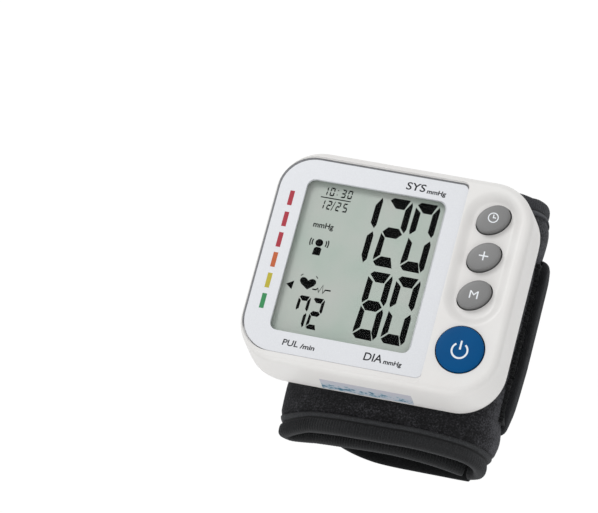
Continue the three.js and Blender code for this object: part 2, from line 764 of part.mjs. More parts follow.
// A textile tape folded over one edge of the band
function binding(y0) {
  return drawOut(ribbon(band, 0, 1, -bindingHalf, bindingHalf), y0, y0 + bindingWidth);
}

add('cuff_band', cuffBand(), material('fabric', 0.95));
add('front_binding', binding(cuffY[0]), material('binding', 0.9));
add('rear_binding', binding(cuffY[1] - bindingWidth), material('binding', 0.9));

// Inside the band's pocket: the springy sheet that curls the cuff, and the bladder with its nipple
const pocketInside = pocketThickness / 2 - runGap / 2;
const shaperOffsets = [pocketInside - shaperThickness, pocketInside];
const bladderOffsets = [-pocketInside, -pocketInside + bladderThickness];
const bladderHalf = cuffScrewY - screwHeadRadius - 2 * seatGap - Math.abs(cuffShiftY);

function cuffShaper() {
  let sheet = solid(drawOut(
    ribbon(band, ...shaperEndShares, ...shaperOffsets), bandY[0] + runGap, bandY[1] - runGap,
  ));
  const through = [bandMiddle - bandThickness, -caseDepth];
  for (const [x, y] of cuffScrewPlaces()) {
    sheet = sheet.subtract(solid(bar(x, y, screwRadius + runGap, ...through)));
  }
  return sheet.subtract(solid(bar(nippleX, manifoldY, nippleRadius + 3 * runGap, ...through)));
}

add('cuff_shaper', cuffShaper(), material('sheet', 0.5));
add('air_bladder', drawOut(
  ribbon(band, ...bladderEndShares, ...bladderOffsets), cuffShiftY - bladderHalf, cuffShiftY + bladderHalf,
), material('bladder', 0.8));
const nippleFoot = bandMiddle - pocketInside + bladderThickness + seatGap / 2;
add('air_nipple', solid(bar(nippleX, manifoldY, nippleRadius, nippleFoot, manifoldZ + portRadius))
  .add(solid(bar(nippleX, manifoldY, nippleRadius + runGap * 2, nippleFoot, nippleFoot + runGap))),
material('air', 0.6));

cuffScrewPlaces().forEach(([x, y], i) => {
  const head = bandMiddle - bandHalf + seatGap;
  add(`cuff_screw_${i + 1}`, screw(x, y, head, backInside - head + seatGap), material('metal', 0.35, 0.9));
});

// Closing strap: sewn under the cuff's lower layer and flat where it rests, then a narrower tail
// that goes up outside the cuff's right fold, with hook tape on its inner face
const strapHalf = strapThickness / 2;
const strap = sectionPoints(strapShares);
const strapLook = material('fabric', 0.95);
const aboveRest = slab(-caseDepth - cuffDrop, 0);

function strapBase() {
  const section = ribbon(strap, 0, 1, -strapHalf, strapHalf, strapSteps);
  return solid(drawOut(section, ...cuffY)).intersect(aboveRest);
}

add('strap_base', strapBase(), strapLook);

const tailMiddleY = cuffShiftY + tailShiftY;
const tailY = [tailMiddleY - tailWidth / 2, tailMiddleY + tailWidth / 2];
const hookInside = bindingHalf + seatGap;
const tailInside = hookInside + hookThickness + hookGap;
add('strap_tail', drawOut(
  ribbon(band, ...tailEndShares, tailInside, tailInside + strapThickness, tailSteps), ...tailY,
), strapLook);
add('hook_tape', drawOut(
  ribbon(band, ...hookEndShares, hookInside, hookInside + hookThickness, tailSteps),
  tailY[0] + hookMargin, tailY[1] - hookMargin,
), material('hook', 1));

// A plain sticker on the wall below the display, leaning with the wall
function sideLabel() {
  const lean = Math.atan2(faceTaperY, waistDepth);
  const depth = labelDepth + labelHeight / 2;
  const wallY = -caseWidth / 2 + faceTaperY * (1 - depth / waistDepth);
  const geometry = new THREE.BoxGeometry(labelLength, labelThickness, labelHeight);
  return geometry.rotateX(-lean).translate(labelX, wallY - labelThickness / 2 - labelGap, -depth);
}

add('side_label', sideLabel(), material('label', 0.5));

const seen = new THREE.Box3().setFromObject(pieces);
const middle = seen.getCenter(new THREE.Vector3());
pieces.position.set(-middle.x, -middle.y, -seen.min.z);

export default pieces;
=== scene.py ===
import math

import bmesh
import bpy
import numpy as np
from mathutils import Matrix, Vector, noise


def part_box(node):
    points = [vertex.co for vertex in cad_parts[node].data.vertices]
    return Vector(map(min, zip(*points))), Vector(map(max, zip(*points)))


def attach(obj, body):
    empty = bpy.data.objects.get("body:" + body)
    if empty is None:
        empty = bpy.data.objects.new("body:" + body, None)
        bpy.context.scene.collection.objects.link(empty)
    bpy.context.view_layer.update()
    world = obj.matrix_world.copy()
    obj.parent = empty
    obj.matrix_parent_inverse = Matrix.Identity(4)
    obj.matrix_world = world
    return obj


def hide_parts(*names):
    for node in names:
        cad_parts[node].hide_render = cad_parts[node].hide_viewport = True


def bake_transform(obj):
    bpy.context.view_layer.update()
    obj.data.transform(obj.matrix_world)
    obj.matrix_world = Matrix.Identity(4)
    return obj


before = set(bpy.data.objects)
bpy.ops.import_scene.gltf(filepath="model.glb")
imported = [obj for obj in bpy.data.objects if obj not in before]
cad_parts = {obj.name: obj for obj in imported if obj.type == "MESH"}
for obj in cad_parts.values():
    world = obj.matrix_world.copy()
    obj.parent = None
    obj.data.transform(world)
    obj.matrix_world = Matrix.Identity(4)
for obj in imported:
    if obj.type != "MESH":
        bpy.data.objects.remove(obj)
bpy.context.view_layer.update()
print("frame loaded")

mm = 0.001
coverLow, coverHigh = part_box("front_cover")
caseX = (coverLow.x + coverHigh.x) / 2
caseY = (coverLow.y + coverHigh.y) / 2
faceZ = coverHigh.z


# Places are given in mm from the middle of the case, with Z = 0 on its face
def place(x, y, z=0.0):
    return Vector((caseX + x * mm, caseY + y * mm, faceZ + z * mm))


def clearSelection():
    if bpy.context.object and bpy.context.object.mode != "OBJECT":
        bpy.ops.object.mode_set(mode="OBJECT")
    bpy.ops.object.select_all(action="DESELECT")


def pick(piece):
    clearSelection()
    piece.select_set(True)
    bpy.context.view_layer.objects.active = piece


def settle(piece):  # puts the place, turn and size into the mesh
    pick(piece)
    bpy.ops.object.transform_apply(location=True, rotation=True, scale=True)


def leaveEdit():
    bpy.ops.object.mode_set(mode="OBJECT")


def selectParts(piece, kind, test):  # kind is VERT, EDGE or FACE; edit mode stays open
    pick(piece)
    bpy.ops.object.mode_set(mode="EDIT")
    bpy.ops.mesh.select_mode(type=kind)
    bpy.ops.mesh.select_all(action="DESELECT")
    shape = bmesh.from_edit_mesh(piece.data)
    parts = {"VERT": shape.verts, "EDGE": shape.edges, "FACE": shape.faces}[kind]
    for part in parts:
        if test(part):
            part.select_set(True)
    shape.select_flush_mode()
    bmesh.update_edit_mesh(piece.data)


def moveVerts(piece, test, x=0.0, y=0.0, z=0.0):
    selectParts(piece, "VERT", test)
    bpy.ops.transform.translate(value=(x * mm, y * mm, z * mm))
    leaveEdit()


def applyModifier(piece, kind, **settings):
    pick(piece)
    modifier = piece.modifiers.new(kind.lower(), kind)
    for name, value in settings.items():
        setattr(modifier, name, value)
    bpy.ops.object.modifier_apply(modifier=modifier.name)


def cutWith(piece, cutter, operation="DIFFERENCE"):
    applyModifier(piece, "BOOLEAN", object=cutter, operation=operation, solver="EXACT")
    bpy.data.objects.remove(cutter)


def addObject(name, data):
    made = bpy.data.objects.new(name, data)
    bpy.context.scene.collection.objects.link(made)
    return made


def copyOf(piece, name):
    twin = piece.copy()
    twin.data = piece.data.copy()
    twin.name = name
    bpy.context.scene.collection.objects.link(twin)
    return twin


def addPrimitive(name, add, **settings):  # add is one of Blender's primitive operators
    clearSelection()
    add(**settings)
    made = bpy.context.object
    made.name = name
    settle(made)
    return made


def mergeDoubles(piece):
    selectParts(piece, "VERT", lambda vert: True)
    bpy.ops.mesh.remove_doubles(threshold=1e-6)
    bpy.ops.mesh.normals_make_consistent(inside=False)
    leaveEdit()


def shadeSoft(piece, angle=32):
    pick(piece)
    bpy.ops.object.shade_smooth_by_angle(angle=math.radians(angle))
    applyModifier(piece, "WEIGHTED_NORMAL", keep_sharp=True)


def breakEdges(piece, width=0.2, segments=2, angle=40):  # the small radius that a mould leaves
    applyModifier(piece, "BEVEL", width=width * mm, segments=segments, limit_method="ANGLE",
                  angle_limit=math.radians(angle), use_clamp_overlap=True, miter_outer="MITER_ARC")
    shadeSoft(piece)


def smoothStep(value, start, end):
    t = np.clip((value - start) / (end - start), 0, 1)
    return t * t * (3 - 2 * t)


def atHeight(z, reach=0.02):
    level = place(0, 0, z).z
    return lambda vert: abs(vert.co.z - level) < reach * mm


def roundedBlock(name, xs, ys, zs, corner, rightCorner=None, segments=10):
    middle = place(sum(xs) / 2, sum(ys) / 2, sum(zs) / 2)
    size = [(pair[1] - pair[0]) * mm for pair in (xs, ys, zs)]
    block = addPrimitive(name, bpy.ops.mesh.primitive_cube_add, size=1, location=middle, scale=size)
    for side, radius in ((-1, corner), (1, corner if rightCorner is None else rightCorner)):
        if not radius:
            continue
        selectParts(block, "EDGE", lambda edge: (
            abs(edge.verts[0].co.z - edge.verts[1].co.z) > 0.01 * mm
            and side * (edge.verts[0].co.x - middle.x) > 0))
        bpy.ops.mesh.bevel(offset=radius * mm, segments=segments, affect="EDGES", clamp_overlap=False)
        leaveEdit()
    mergeDoubles(block)
    return block


def bisectAt(piece, depths, **settings):  # adds a ring of edges at each depth below the face
    for depth in depths:
        selectParts(piece, "FACE", lambda face: True)
        bpy.ops.mesh.bisect(plane_co=place(0, 0, -depth), plane_no=(0, 0, 1), **settings)
        leaveEdit()


def bevelLevel(piece, z, width, segments):  # rounds the rim whose corners lie at one height
    onLevel = atHeight(z)
    selectParts(piece, "EDGE", lambda edge: all(onLevel(vert) for vert in edge.verts))
    bpy.ops.mesh.bevel(offset=width * mm, segments=segments, affect="EDGES", clamp_overlap=False)
    leaveEdit()


# Flat marks are drawn as outlines in mm, filled as a curve and made a mesh
def drawFlat(name, outlines, z, thick=0.02):
    curve = bpy.data.curves.new(name, "CURVE")
    curve.dimensions = "2D"
    curve.fill_mode = "BOTH"
    curve.extrude = thick * mm / 2
    for outline in outlines:
        spline = curve.splines.new("POLY")
        spline.points.add(len(outline) - 1)
        for point, (x, y) in zip(spline.points, outline):
            point.co = (x * mm, y * mm, 0, 1)
        spline.use_cyclic_u = True
    pick(addObject(name, curve))
    bpy.ops.object.convert(target="MESH")
    art = bpy.context.object
    art.location = place(0, 0, z + thick / 2)
    settle(art)
    mergeDoubles(art)
    return art


def printWords(name, words, xs, ys, z, slant=0.0, weight=0.0, thick=0.02):
    clearSelection()
    bpy.ops.object.text_add(location=(0, 0, 0))
    art = bpy.context.object
    art.name = name
    art.data.body = words
    art.data.shear = slant
    art.data.offset = weight
    art.data.extrude = 0.01
    art.data.resolution_u = 4
    bpy.ops.object.convert(target="MESH")
    art = bpy.context.object
    corners = np.array([vert.co for vert in art.data.vertices])
    lowest, highest = corners.min(0), corners.max(0)
    wide, tall = (highest - lowest)[:2]
    art.scale = ((xs[1] - xs[0]) * mm / wide, (ys[1] - ys[0]) * mm / tall, thick * mm / 0.02)
    start = place(xs[0], ys[0], z + thick / 2)
    art.location = start - Vector((lowest[0] * art.scale.x, lowest[1] * art.scale.y, 0))
    settle(art)
    mergeDoubles(art)
    return art


def circle(x, y, radius, start=0.0, sweep=360.0, count=40):
    full = abs(sweep) >= 360
    turns = [math.radians(start + sweep * i / (count if full else count - 1)) for i in range(count)]
    return [(x + radius * math.cos(turn), y + radius * math.sin(turn)) for turn in turns]


def arcBand(x, y, radius, width, start, sweep, count=40):
    outer = circle(x, y, radius + width / 2, start, sweep, count)
    inner = circle(x, y, radius - width / 2, start, sweep, count)
    return outer + inner[::-1]


def stroke(x0, y0, x1, y1, width):  # a straight line with square ends
    along = Vector((x1 - x0, y1 - y0)).normalized()
    side = Vector((-along.y, along.x)) * width / 2
    return [(x0 + side.x, y0 + side.y), (x0 - side.x, y0 - side.y),
            (x1 - side.x, y1 - side.y), (x1 + side.x, y1 + side.y)]


def ribbon(points, width):  # one outline along a broken line
    ends = [Vector(point) for point in points]
    sides = []
    for i, end in enumerate(ends):
        before, after = ends[max(i - 1, 0)], ends[min(i + 1, len(ends) - 1)]
        along = (end - before).normalized() + (after - end).normalized()
        across = Vector((-along.y, along.x)).normalized() * width / 2
        sides.append((end + across, end - across))
    return [tuple(side[0]) for side in sides] + [tuple(side[1]) for side in sides[::-1]]


def linear(hexColour):
    parts = [int(hexColour[i:i + 2], 16) / 255 for i in (1, 3, 5)]
    return tuple(c / 12.92 if c <= 0.04045 else ((c + 0.055) / 1.055) ** 2.4 for c in parts) + (1.0,)


# Adds one node: its settings, what goes into it, a ramp's colours, and the socket that it feeds. A node
# that is given as an input stands for its first output
def addNode(tree, kind, inputs=None, stops=None, to=None, **settings):
    made = tree.nodes.new(kind)
    for name, value in settings.items():
        setattr(made, name, value)
    for name, value in (inputs or {}).items():
        if isinstance(value, bpy.types.Node):
            value = value.outputs[0]
        if isinstance(value, bpy.types.NodeSocket):
            tree.links.new(value, made.inputs[name])
        else:
            made.inputs[name].default_value = value
    if stops:
        while len(made.color_ramp.elements) < len(stops):
            made.color_ramp.elements.new(0.5)
        for element, (position, hexColour) in zip(made.color_ramp.elements, stops):
            element.position = position
            element.color = linear(hexColour)
    if to:
        tree.links.new(made.outputs[0], to)
    return made


def startMaterial(name, hexColour, roughness, **sockets):
    material = bpy.data.materials.new(name)
    material.use_nodes = True
    tree = material.node_tree
    shader = tree.nodes["Principled BSDF"]
    shader.inputs["Base Color"].default_value = linear(hexColour)
    shader.inputs["Roughness"].default_value = roughness
    for socket, value in sockets.items():
        shader.inputs[socket.replace("_", " ")].default_value = value
    coords = addNode(tree, "ShaderNodeTexCoord").outputs["Object"]
    return material, tree, shader.inputs, coords


# Moulded ABS from a spark-eroded mould: satin, with a fine leathery grain and a faint cloudiness
def mouldedAbs(name, light, dark, roughness, grain=0.35, **sockets):
    material, tree, surface, coords = startMaterial(name, light, roughness, IOR=1.53, **sockets)
    pits = addNode(tree, "ShaderNodeTexNoise", {
        "Vector": coords, "Scale": 1 / (grain * mm), "Detail": 3.0})
    addNode(tree, "ShaderNodeBump", {
        "Height": pits, "Distance": 0.006 * mm, "Strength": 0.6}, to=surface["Normal"])
    addNode(tree, "ShaderNodeMapRange", {"Value": pits, "To Min": roughness - 0.05,
                                         "To Max": roughness + 0.06}, to=surface["Roughness"])
    cloud = addNode(tree, "ShaderNodeTexNoise", {"Vector": coords, "Scale": 1 / (14 * mm)})
    addNode(tree, "ShaderNodeValToRGB", {"Fac": cloud}, stops=[(0.35, dark), (0.65, light)],
            to=surface["Base Color"])
    return material


# Screen-printed polycarbonate film with metal flakes: silvery, each flake a shade lighter or darker
def silverFilm(name):
    material, tree, surface, coords = startMaterial(name, "#dadce0", 0.4, Metallic=0.1)
    flakes = addNode(tree, "ShaderNodeTexVoronoi", {"Vector": coords, "Scale": 1 / (0.2 * mm)})
    addNode(tree, "ShaderNodeValToRGB", {"Fac": flakes.outputs["Color"]},
            stops=[(0.0, "#d8dade"), (0.5, "#dbdde1"), (1.0, "#dfe1e5")], to=surface["Base Color"])
    addNode(tree, "ShaderNodeMapRange", {
        "Value": flakes.outputs["Distance"], "To Min": 0.34, "To Max": 0.5}, to=surface["Roughness"])
    return material


# Hard-coated acrylic: clear, with a faint gloss
def clearAcrylic(name):
    material, tree, surface, coords = startMaterial(
        name, "#f4f6f5", 0.06, Alpha=0.004, IOR=1.49, Specular_IOR_Level=0.05)
    haze = addNode(tree, "ShaderNodeTexNoise", {"Vector": coords, "Scale": 1 / (9 * mm)})
    addNode(tree, "ShaderNodeMapRange", {"Value": haze, "To Min": 0.04, "To Max": 0.09},
            to=surface["Roughness"])
    return material


# Reflective liquid crystal cell: greenish grey, slightly cloudy under its polariser
def crystalCell(name):
    material, tree, surface, coords = startMaterial(name, "#b1bbb3", 0.5)
    cloud = addNode(tree, "ShaderNodeTexNoise", {
        "Vector": coords, "Scale": 1 / (16 * mm), "Detail": 3.0})
    addNode(tree, "ShaderNodeValToRGB", {"Fac": cloud},
            stops=[(0.3, "#a9b8ae"), (0.5, "#b1bbb3"), (0.7, "#b7bcb6")], to=surface["Base Color"])
    fine = addNode(tree, "ShaderNodeTexNoise", {"Vector": coords, "Scale": 1 / (0.15 * mm)})
    addNode(tree, "ShaderNodeBump", {
        "Height": fine, "Distance": 0.003 * mm, "Strength": 0.4}, to=surface["Normal"])
    return material


# Screen or pad ink: flat and a little uneven
def ink(name, hexColour, dark, roughness=0.5, **sockets):
    material, tree, surface, coords = startMaterial(name, hexColour, roughness, **sockets)
    blotch = addNode(tree, "ShaderNodeTexNoise", {
        "Vector": coords, "Scale": 1 / (0.5 * mm), "Detail": 3.0})
    addNode(tree, "ShaderNodeValToRGB", {"Fac": blotch}, stops=[(0.3, dark), (0.7, hexColour)],
            to=surface["Base Color"])
    return material


# Velour over foam: dark, brushed pile in small patches that catch the light differently. On the
# strap's side of the fold the colour is painted lighter: a painted highlight where the fold is lit
def velour(name, foldLight, light, mid, dark):
    material, tree, surface, coords = startMaterial(
        name, mid, 0.95, Specular_IOR_Level=0.2, Sheen_Weight=0.35, Sheen_Roughness=0.5,
        Sheen_Tint=linear("#8a8c90"))
    pile = addNode(tree, "ShaderNodeTexNoise", {
        "Vector": coords, "Scale": 1 / (0.5 * mm), "Detail": 4.0, "Roughness": 0.7})
    patches = addNode(tree, "ShaderNodeTexNoise", {"Vector": coords, "Scale": 1 / (5 * mm)})
    mixed = addNode(tree, "ShaderNodeMix", {
        "Factor": 0.22, "A": pile, "B": patches})
    axes = addNode(tree, "ShaderNodeSeparateXYZ", {"Vector": coords})
    # painted highlight: the tone rises across the fold, from 30.5 to 36.5 mm out in X
    paintedFoldLight = addNode(tree, "ShaderNodeMapRange", {
        "Value": axes.outputs["X"], "From Min": 30.5 * mm, "From Max": 36.5 * mm, "To Min": -0.02,
        "To Max": 0.14})
    tone = addNode(tree, "ShaderNodeMath", {0: mixed, 1: paintedFoldLight})
    # the last stop is the colour of the painted highlight on the fold
    addNode(tree, "ShaderNodeValToRGB", {"Fac": tone},
            stops=[(0.36, dark), (0.5, mid), (0.64, light), (0.85, foldLight)], to=surface["Base Color"])
    addNode(tree, "ShaderNodeBump", {
        "Height": pile, "Distance": 0.25 * mm, "Strength": 0.8}, to=surface["Normal"])
    return material


# Knitted tape: its ribs are modelled, and the threads in them are a finer pattern. By how far across the
# tape they lie, the hem ridge gets painted highlight and the seam groove painted shade; hook tape has
# neither
def knitTape(name, light, dark):
    material, tree, surface, coords = startMaterial(
        name, dark, 0.85, Specular_IOR_Level=0.3, Sheen_Weight=0.25, Sheen_Roughness=0.5,
        Sheen_Tint=linear("#9a9ca0"))
    threads = addNode(tree, "ShaderNodeTexNoise", {
        "Vector": coords, "Scale": 1 / (0.3 * mm), "Detail": 3.0, "Roughness": 0.65})
    knit = addNode(tree, "ShaderNodeValToRGB", {"Fac": threads},
                   stops=[(0.34, dark), (0.68, light)])
    across = addNode(tree, "ShaderNodeAttribute", attribute_name="tapeWidth")
    # painted highlight on the hem ridge and painted shade in the seam groove; the colour also darkens
    # towards the rolled outer edge
    ridgeLightAndSeamShade = addNode(tree, "ShaderNodeValToRGB", {"Fac": across.outputs["Fac"]}, stops=[
        (0.0, "#8a8a8a"), (0.1, "#b4b4b4"), (0.22, "#b4b4b4"), (0.27, "#4a4a4a"), (0.32, "#464646"),
        (0.38, "#8a8a8a"), (0.7, "#888888"), (0.95, "#6c6c6c")])
    shaded = addNode(tree, "ShaderNodeVectorMath", {
        0: knit, 1: ridgeLightAndSeamShade}, operation="MULTIPLY")
    addNode(tree, "ShaderNodeVectorMath", {0: shaded, 1: (4.0, 4.0, 4.0)},
            operation="MULTIPLY", to=surface["Base Color"])
    addNode(tree, "ShaderNodeBump", {
        "Height": threads, "Distance": 0.12 * mm, "Strength": 0.7}, to=surface["Normal"])
    return material


# Plated or spring-hard metal, drawn or stamped: bright, with fine streaks in its gloss
def drawnMetal(name, hexColour, roughness):
    material, tree, surface, coords = startMaterial(name, hexColour, roughness, Metallic=1.0)
    stretched = addNode(tree, "ShaderNodeMapping", {"Vector": coords, "Scale": (1, 1, 0.15)})
    streaks = addNode(tree, "ShaderNodeTexNoise", {
        "Vector": stretched, "Scale": 1 / (0.4 * mm), "Detail": 4.0})
    addNode(tree, "ShaderNodeMapRange", {"Value": streaks, "To Min": roughness - 0.1,
                                         "To Max": roughness + 0.15}, to=surface["Roughness"])
    addNode(tree, "ShaderNodeBump", {
        "Height": streaks, "Distance": 0.01 * mm, "Strength": 0.5}, to=surface["Normal"])
    return material


# Glass-fibre board under green solder mask: the copper tracks show through as a lighter maze
def solderMask(name):
    material, tree, surface, coords = startMaterial(name, "#1d5b3a", 0.35)
    tracks = addNode(tree, "ShaderNodeTexBrick", {
        "Vector": coords, "Color1": linear("#1b5637"), "Color2": linear("#226644"),
        "Mortar": linear("#2f7a52"), "Scale": 1 / (6 * mm), "Mortar Size": 0.03},
        to=surface["Base Color"])
    addNode(tree, "ShaderNodeBump", {
        "Height": tracks.outputs["Fac"], "Distance": 0.03 * mm, "Strength": 0.4}, to=surface["Normal"])
    return material


# Printed foil sticker: pale lilac, with loose blue smudges that thin out upwards and to the right
def foilSticker(name):
    material, tree, surface, coords = startMaterial(name, "#c3c4cf", 0.4)
    stretched = addNode(tree, "ShaderNodeMapping", {"Vector": coords, "Scale": (1, 1, 1.6)})
    blots = addNode(tree, "ShaderNodeTexNoise", {
        "Vector": stretched, "Scale": 1 / (1.9 * mm), "Detail": 4.0, "Roughness": 0.65})
    axes = addNode(tree, "ShaderNodeSeparateXYZ", {"Vector": coords})
    labelLow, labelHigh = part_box("side_label")
    sideways = addNode(tree, "ShaderNodeMapRange", {
        "Value": axes.outputs["X"], "From Min": labelLow.x, "From Max": labelHigh.x,
        "To Min": -0.03, "To Max": 0.05})
    upwards = addNode(tree, "ShaderNodeMapRange", {
        "Value": axes.outputs["Z"], "From Min": labelHigh.z - 4.4 * mm,
        "From Max": labelHigh.z - 1.8 * mm, "To Min": -0.03, "To Max": 0.2})
    shifted = addNode(tree, "ShaderNodeMath", {0: blots, 1: sideways})
    thinned = addNode(tree, "ShaderNodeMath", {0: shifted, 1: upwards})
    addNode(tree, "ShaderNodeValToRGB", {"Fac": thinned},
            stops=[(0.38, "#2b6580"), (0.45, "#86a9bb"), (0.5, "#c0c6d0"), (0.75, "#c3c3cd")],
            to=surface["Base Color"])
    return material


# Soft rubber, silicone and film of the inner parts: matt, with a fine blush
def rubbery(name, light, dark, roughness=0.6):
    material, tree, surface, coords = startMaterial(name, light, roughness, IOR=1.45)
    grain = addNode(tree, "ShaderNodeTexNoise", {
        "Vector": coords, "Scale": 1 / (0.6 * mm), "Detail": 3.0})
    addNode(tree, "ShaderNodeValToRGB", {"Fac": grain}, stops=[(0.35, dark), (0.65, light)],
            to=surface["Base Color"])
    addNode(tree, "ShaderNodeBump", {
        "Height": grain, "Distance": 0.02 * mm, "Strength": 0.5}, to=surface["Normal"])
    return material


caseWhite = mouldedAbs("mouldedWhiteAbs", "#ebeae8", "#e8e6e4", 0.38)
keyGrey = mouldedAbs("mouldedGreyKey", "#7f7f7f", "#797979", 0.45, grain=0.25)
keyBlue = mouldedAbs("mouldedBlueKey", "#00528a", "#004d84", 0.42, grain=0.25, Specular_IOR_Level=0.08)
panelSilver = silverFilm("printedSilverFilm")
paneClear = clearAcrylic("hardCoatedAcrylic")
cellGreen = crystalCell("liquidCrystalCell")
segmentBlack = ink("crystalSegmentBlack", "#060707", "#030404", 0.6, Specular_IOR_Level=0.0)
printGrey = ink("screenInkGrey", "#2c2d31", "#242529", Specular_IOR_Level=0.1)
printWhite = ink("padInkWhite", "#f4f7fa", "#e8edf2")
# each velour's first colour is its painted highlight on the fold
bandVelour = velour("cuffVelour", "#6e6e73", "#4a4a4e", "#212123", "#0e0e0f")
strapVelour = velour("strapVelour", "#202124", "#1e1f21", "#121314", "#080809")
bindingTape = knitTape("knittedBindingTape", "#303133", "#151617")
rearTape = knitTape("rearBindingTape", "#45464a", "#26272a")
hookNylon = knitTape("hookTapeNylon", "#1c1d1f", "#060607")
print("materials ready")

cameraLook = {"turn": 39.17, "rise": 66.31, "roll": -26.5, "distance": 1100, "lens": 233.96,
              "slideX": 16.807, "slideY": -2.236, "aim": (-8.2, 0.45)}


def addCamera():
    turn, rise, roll = (math.radians(cameraLook[k]) for k in ("turn", "rise", "roll"))
    back = Vector((math.cos(rise) * math.sin(turn), -math.cos(rise) * math.cos(turn), math.sin(rise)))
    levelRight = Vector((0, 0, 1)).cross(back).normalized()
    levelUp = back.cross(levelRight)
    right = math.cos(roll) * levelRight + math.sin(roll) * levelUp
    up = -math.sin(roll) * levelRight + math.cos(roll) * levelUp
    data = bpy.data.cameras.new("viewpoint")
    data.lens, data.sensor_width, data.sensor_fit = cameraLook["lens"], 36, "HORIZONTAL"
    data.clip_start, data.clip_end = 0.05, 20
    camera = addObject("viewpoint", data)
    spot = place(*cameraLook["aim"]) + mm * (
        cameraLook["distance"] * back - cameraLook["slideX"] * right - cameraLook["slideY"] * up)
    camera.matrix_world = Matrix.Translation(spot) @ Matrix((right, up, back)).transposed().to_4x4()
    bpy.context.scene.camera = camera


lightLook = {"worldStrength": 0.62, "paperShare": 0.97, "paperStrength": 1.03,
             "paper": (0.86, 0.86, 0.86, 1),
             # power, size and place from the case, in metres
             "lamps": {"key": (4.3, 0.45, (-0.55, 0.6, 0.9)),
                       "front": (3.3, 0.9, (-0.2, -1.2, 0.45)),
                       "side": (0.9, 0.8, (1.0, -0.3, 0.6))}}


def addLamp(name):
    power, size, direction = lightLook["lamps"][name]
    data = bpy.data.lights.new(name, "AREA")
    data.energy, data.size, data.shape = power, size, "DISK"
    lamp = addObject(name, data)
    lamp.location = place(0, 0) + Vector(direction)
    lamp.rotation_euler = (-Vector(direction)).to_track_quat("-Z", "Y").to_euler()


# White to the camera and to gloss and glass, and a plain level on the object
def whiteAround(tree, output, lit, white, share):
    rays = addNode(tree, "ShaderNodeLightPath")
    seen = addNode(tree, "ShaderNodeMath", {
        0: rays.outputs["Is Camera Ray"], 1: rays.outputs["Is Glossy Ray"]}, operation="MAXIMUM")
    seen = addNode(tree, "ShaderNodeMath", {0: seen, 1: rays.outputs["Is Transmission Ray"]},
                   operation="MAXIMUM")
    part = addNode(tree, "ShaderNodeMath", {0: seen, 1: share}, operation="MULTIPLY")
    addNode(tree, "ShaderNodeMixShader", {0: part, 1: lit, 2: white},
            to=output.inputs["Surface"])


def addStudio():
    world = bpy.data.worlds.new("studio")
    bpy.context.scene.world = world
    world.use_nodes = True
    tree = world.node_tree
    tree.nodes.clear()
    output = addNode(tree, "ShaderNodeOutputWorld")
    lit = addNode(tree, "ShaderNodeBackground", {
        "Color": (1, 1, 1, 1), "Strength": lightLook["worldStrength"]})
    white = addNode(tree, "ShaderNodeBackground", {"Color": (1, 1, 1, 1), "Strength": 1.0})
    whiteAround(tree, output, lit, white, 1.0)
    for name in lightLook["lamps"]:
        addLamp(name)
    floor = addPrimitive("floor", bpy.ops.mesh.primitive_plane_add, size=6, location=(0, 0, -0.0002))
    paper = bpy.data.materials.new("backdropPaper")
    paper.use_nodes = True
    tree = paper.node_tree
    tree.nodes.clear()
    output = addNode(tree, "ShaderNodeOutputMaterial")
    lit = addNode(tree, "ShaderNodeBsdfDiffuse", {"Color": lightLook["paper"]})
    white = addNode(tree, "ShaderNodeEmission", {
        "Color": (1, 1, 1, 1), "Strength": lightLook["paperStrength"]})
    whiteAround(tree, output, lit, white, lightLook["paperShare"])
    floor.data.materials.append(paper)
    bpy.context.scene.view_settings.view_transform = "Standard"


addCamera()
addStudio()
print("camera and light ready")


def dress(piece, material, body, slot, *nodes):
    piece.data.materials.clear()
    piece.data.materials.append(material)
    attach(piece, body)
    if nodes:
        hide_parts(*nodes)


# One blank is cut into the front shell, the battery door and the rear dish
caseForm = {"halfX": 38.2, "halfY": 32.85, "depth": 22, "corner": 13, "cornerSegments": 18,
            "shoulder": 2.0, "shoulderSegments": 8, "heel": 3.3, "waist": 14.5, "parting": 18.3,
            "faceDrawX": 0.3, "faceDrawY": 0.6, "partingDraw": 0.9, "swell": 1.35,
            "sideWall": 1.6, "faceWall": 2.6, "gap": 0.15, "heelSegments": 6,
            # depths at which the outline is drawn in, the last one at the parting line
            "levels": [4.5, 7, 9.5, 12, 14.5, 16.2, 17.3, 18.3]}
keyRow = {"x": 26.45, "memoryY": -2.25, "pitch": 11.54, "powerY": -19.0, "long": 5.08, "short": 3.72,
          "tilt": 40, "power": 6.8, "clearance": 0.35, "through": (-6, 3)}
windowForm = {"x": -8.2, "y": 0.45, "wide": 41.6, "tall": 46.6, "corner": 2.4, "lip": 0.9,
              "shellGrow": 1.1, "tapeGrow": 1, "through": (-5, 2)}
panelForm = {"left": -36.8, "right": 17.4, "bottom": -29.3, "top": 29.75, "leftCorner": 9.8,
             "rightCorner": 1.8, "recess": 0.6, "thick": 1.0, "gap": 0.07,
             # the seat's rim widens upwards: depth, then how far out at left, bottom and top
             "seat": [(1.5, 0, 0, 0), (1.4, 0.68, 0, 0.72), (0.62, 0.68, 0, 0.72),
                      (0.56, 0.68, 0.3, 0.72), (0.3, 0.68, 1.0, 0.72), (0.12, 0.68, 1.6, 0.72),
                      (-0.2, 0.76, 2.0, 0.84)]}


def drawnIn(depth):  # how far the outline stands in from its widest, in X and Y
    rise = max(1 - depth / caseForm["waist"], 0) ** caseForm["swell"]
    fall = max((depth - caseForm["waist"]) / (caseForm["parting"] - caseForm["waist"]), 0)
    fall = caseForm["partingDraw"] * fall ** 1.3
    return caseForm["faceDrawX"] * rise + fall, caseForm["faceDrawY"] * rise + fall


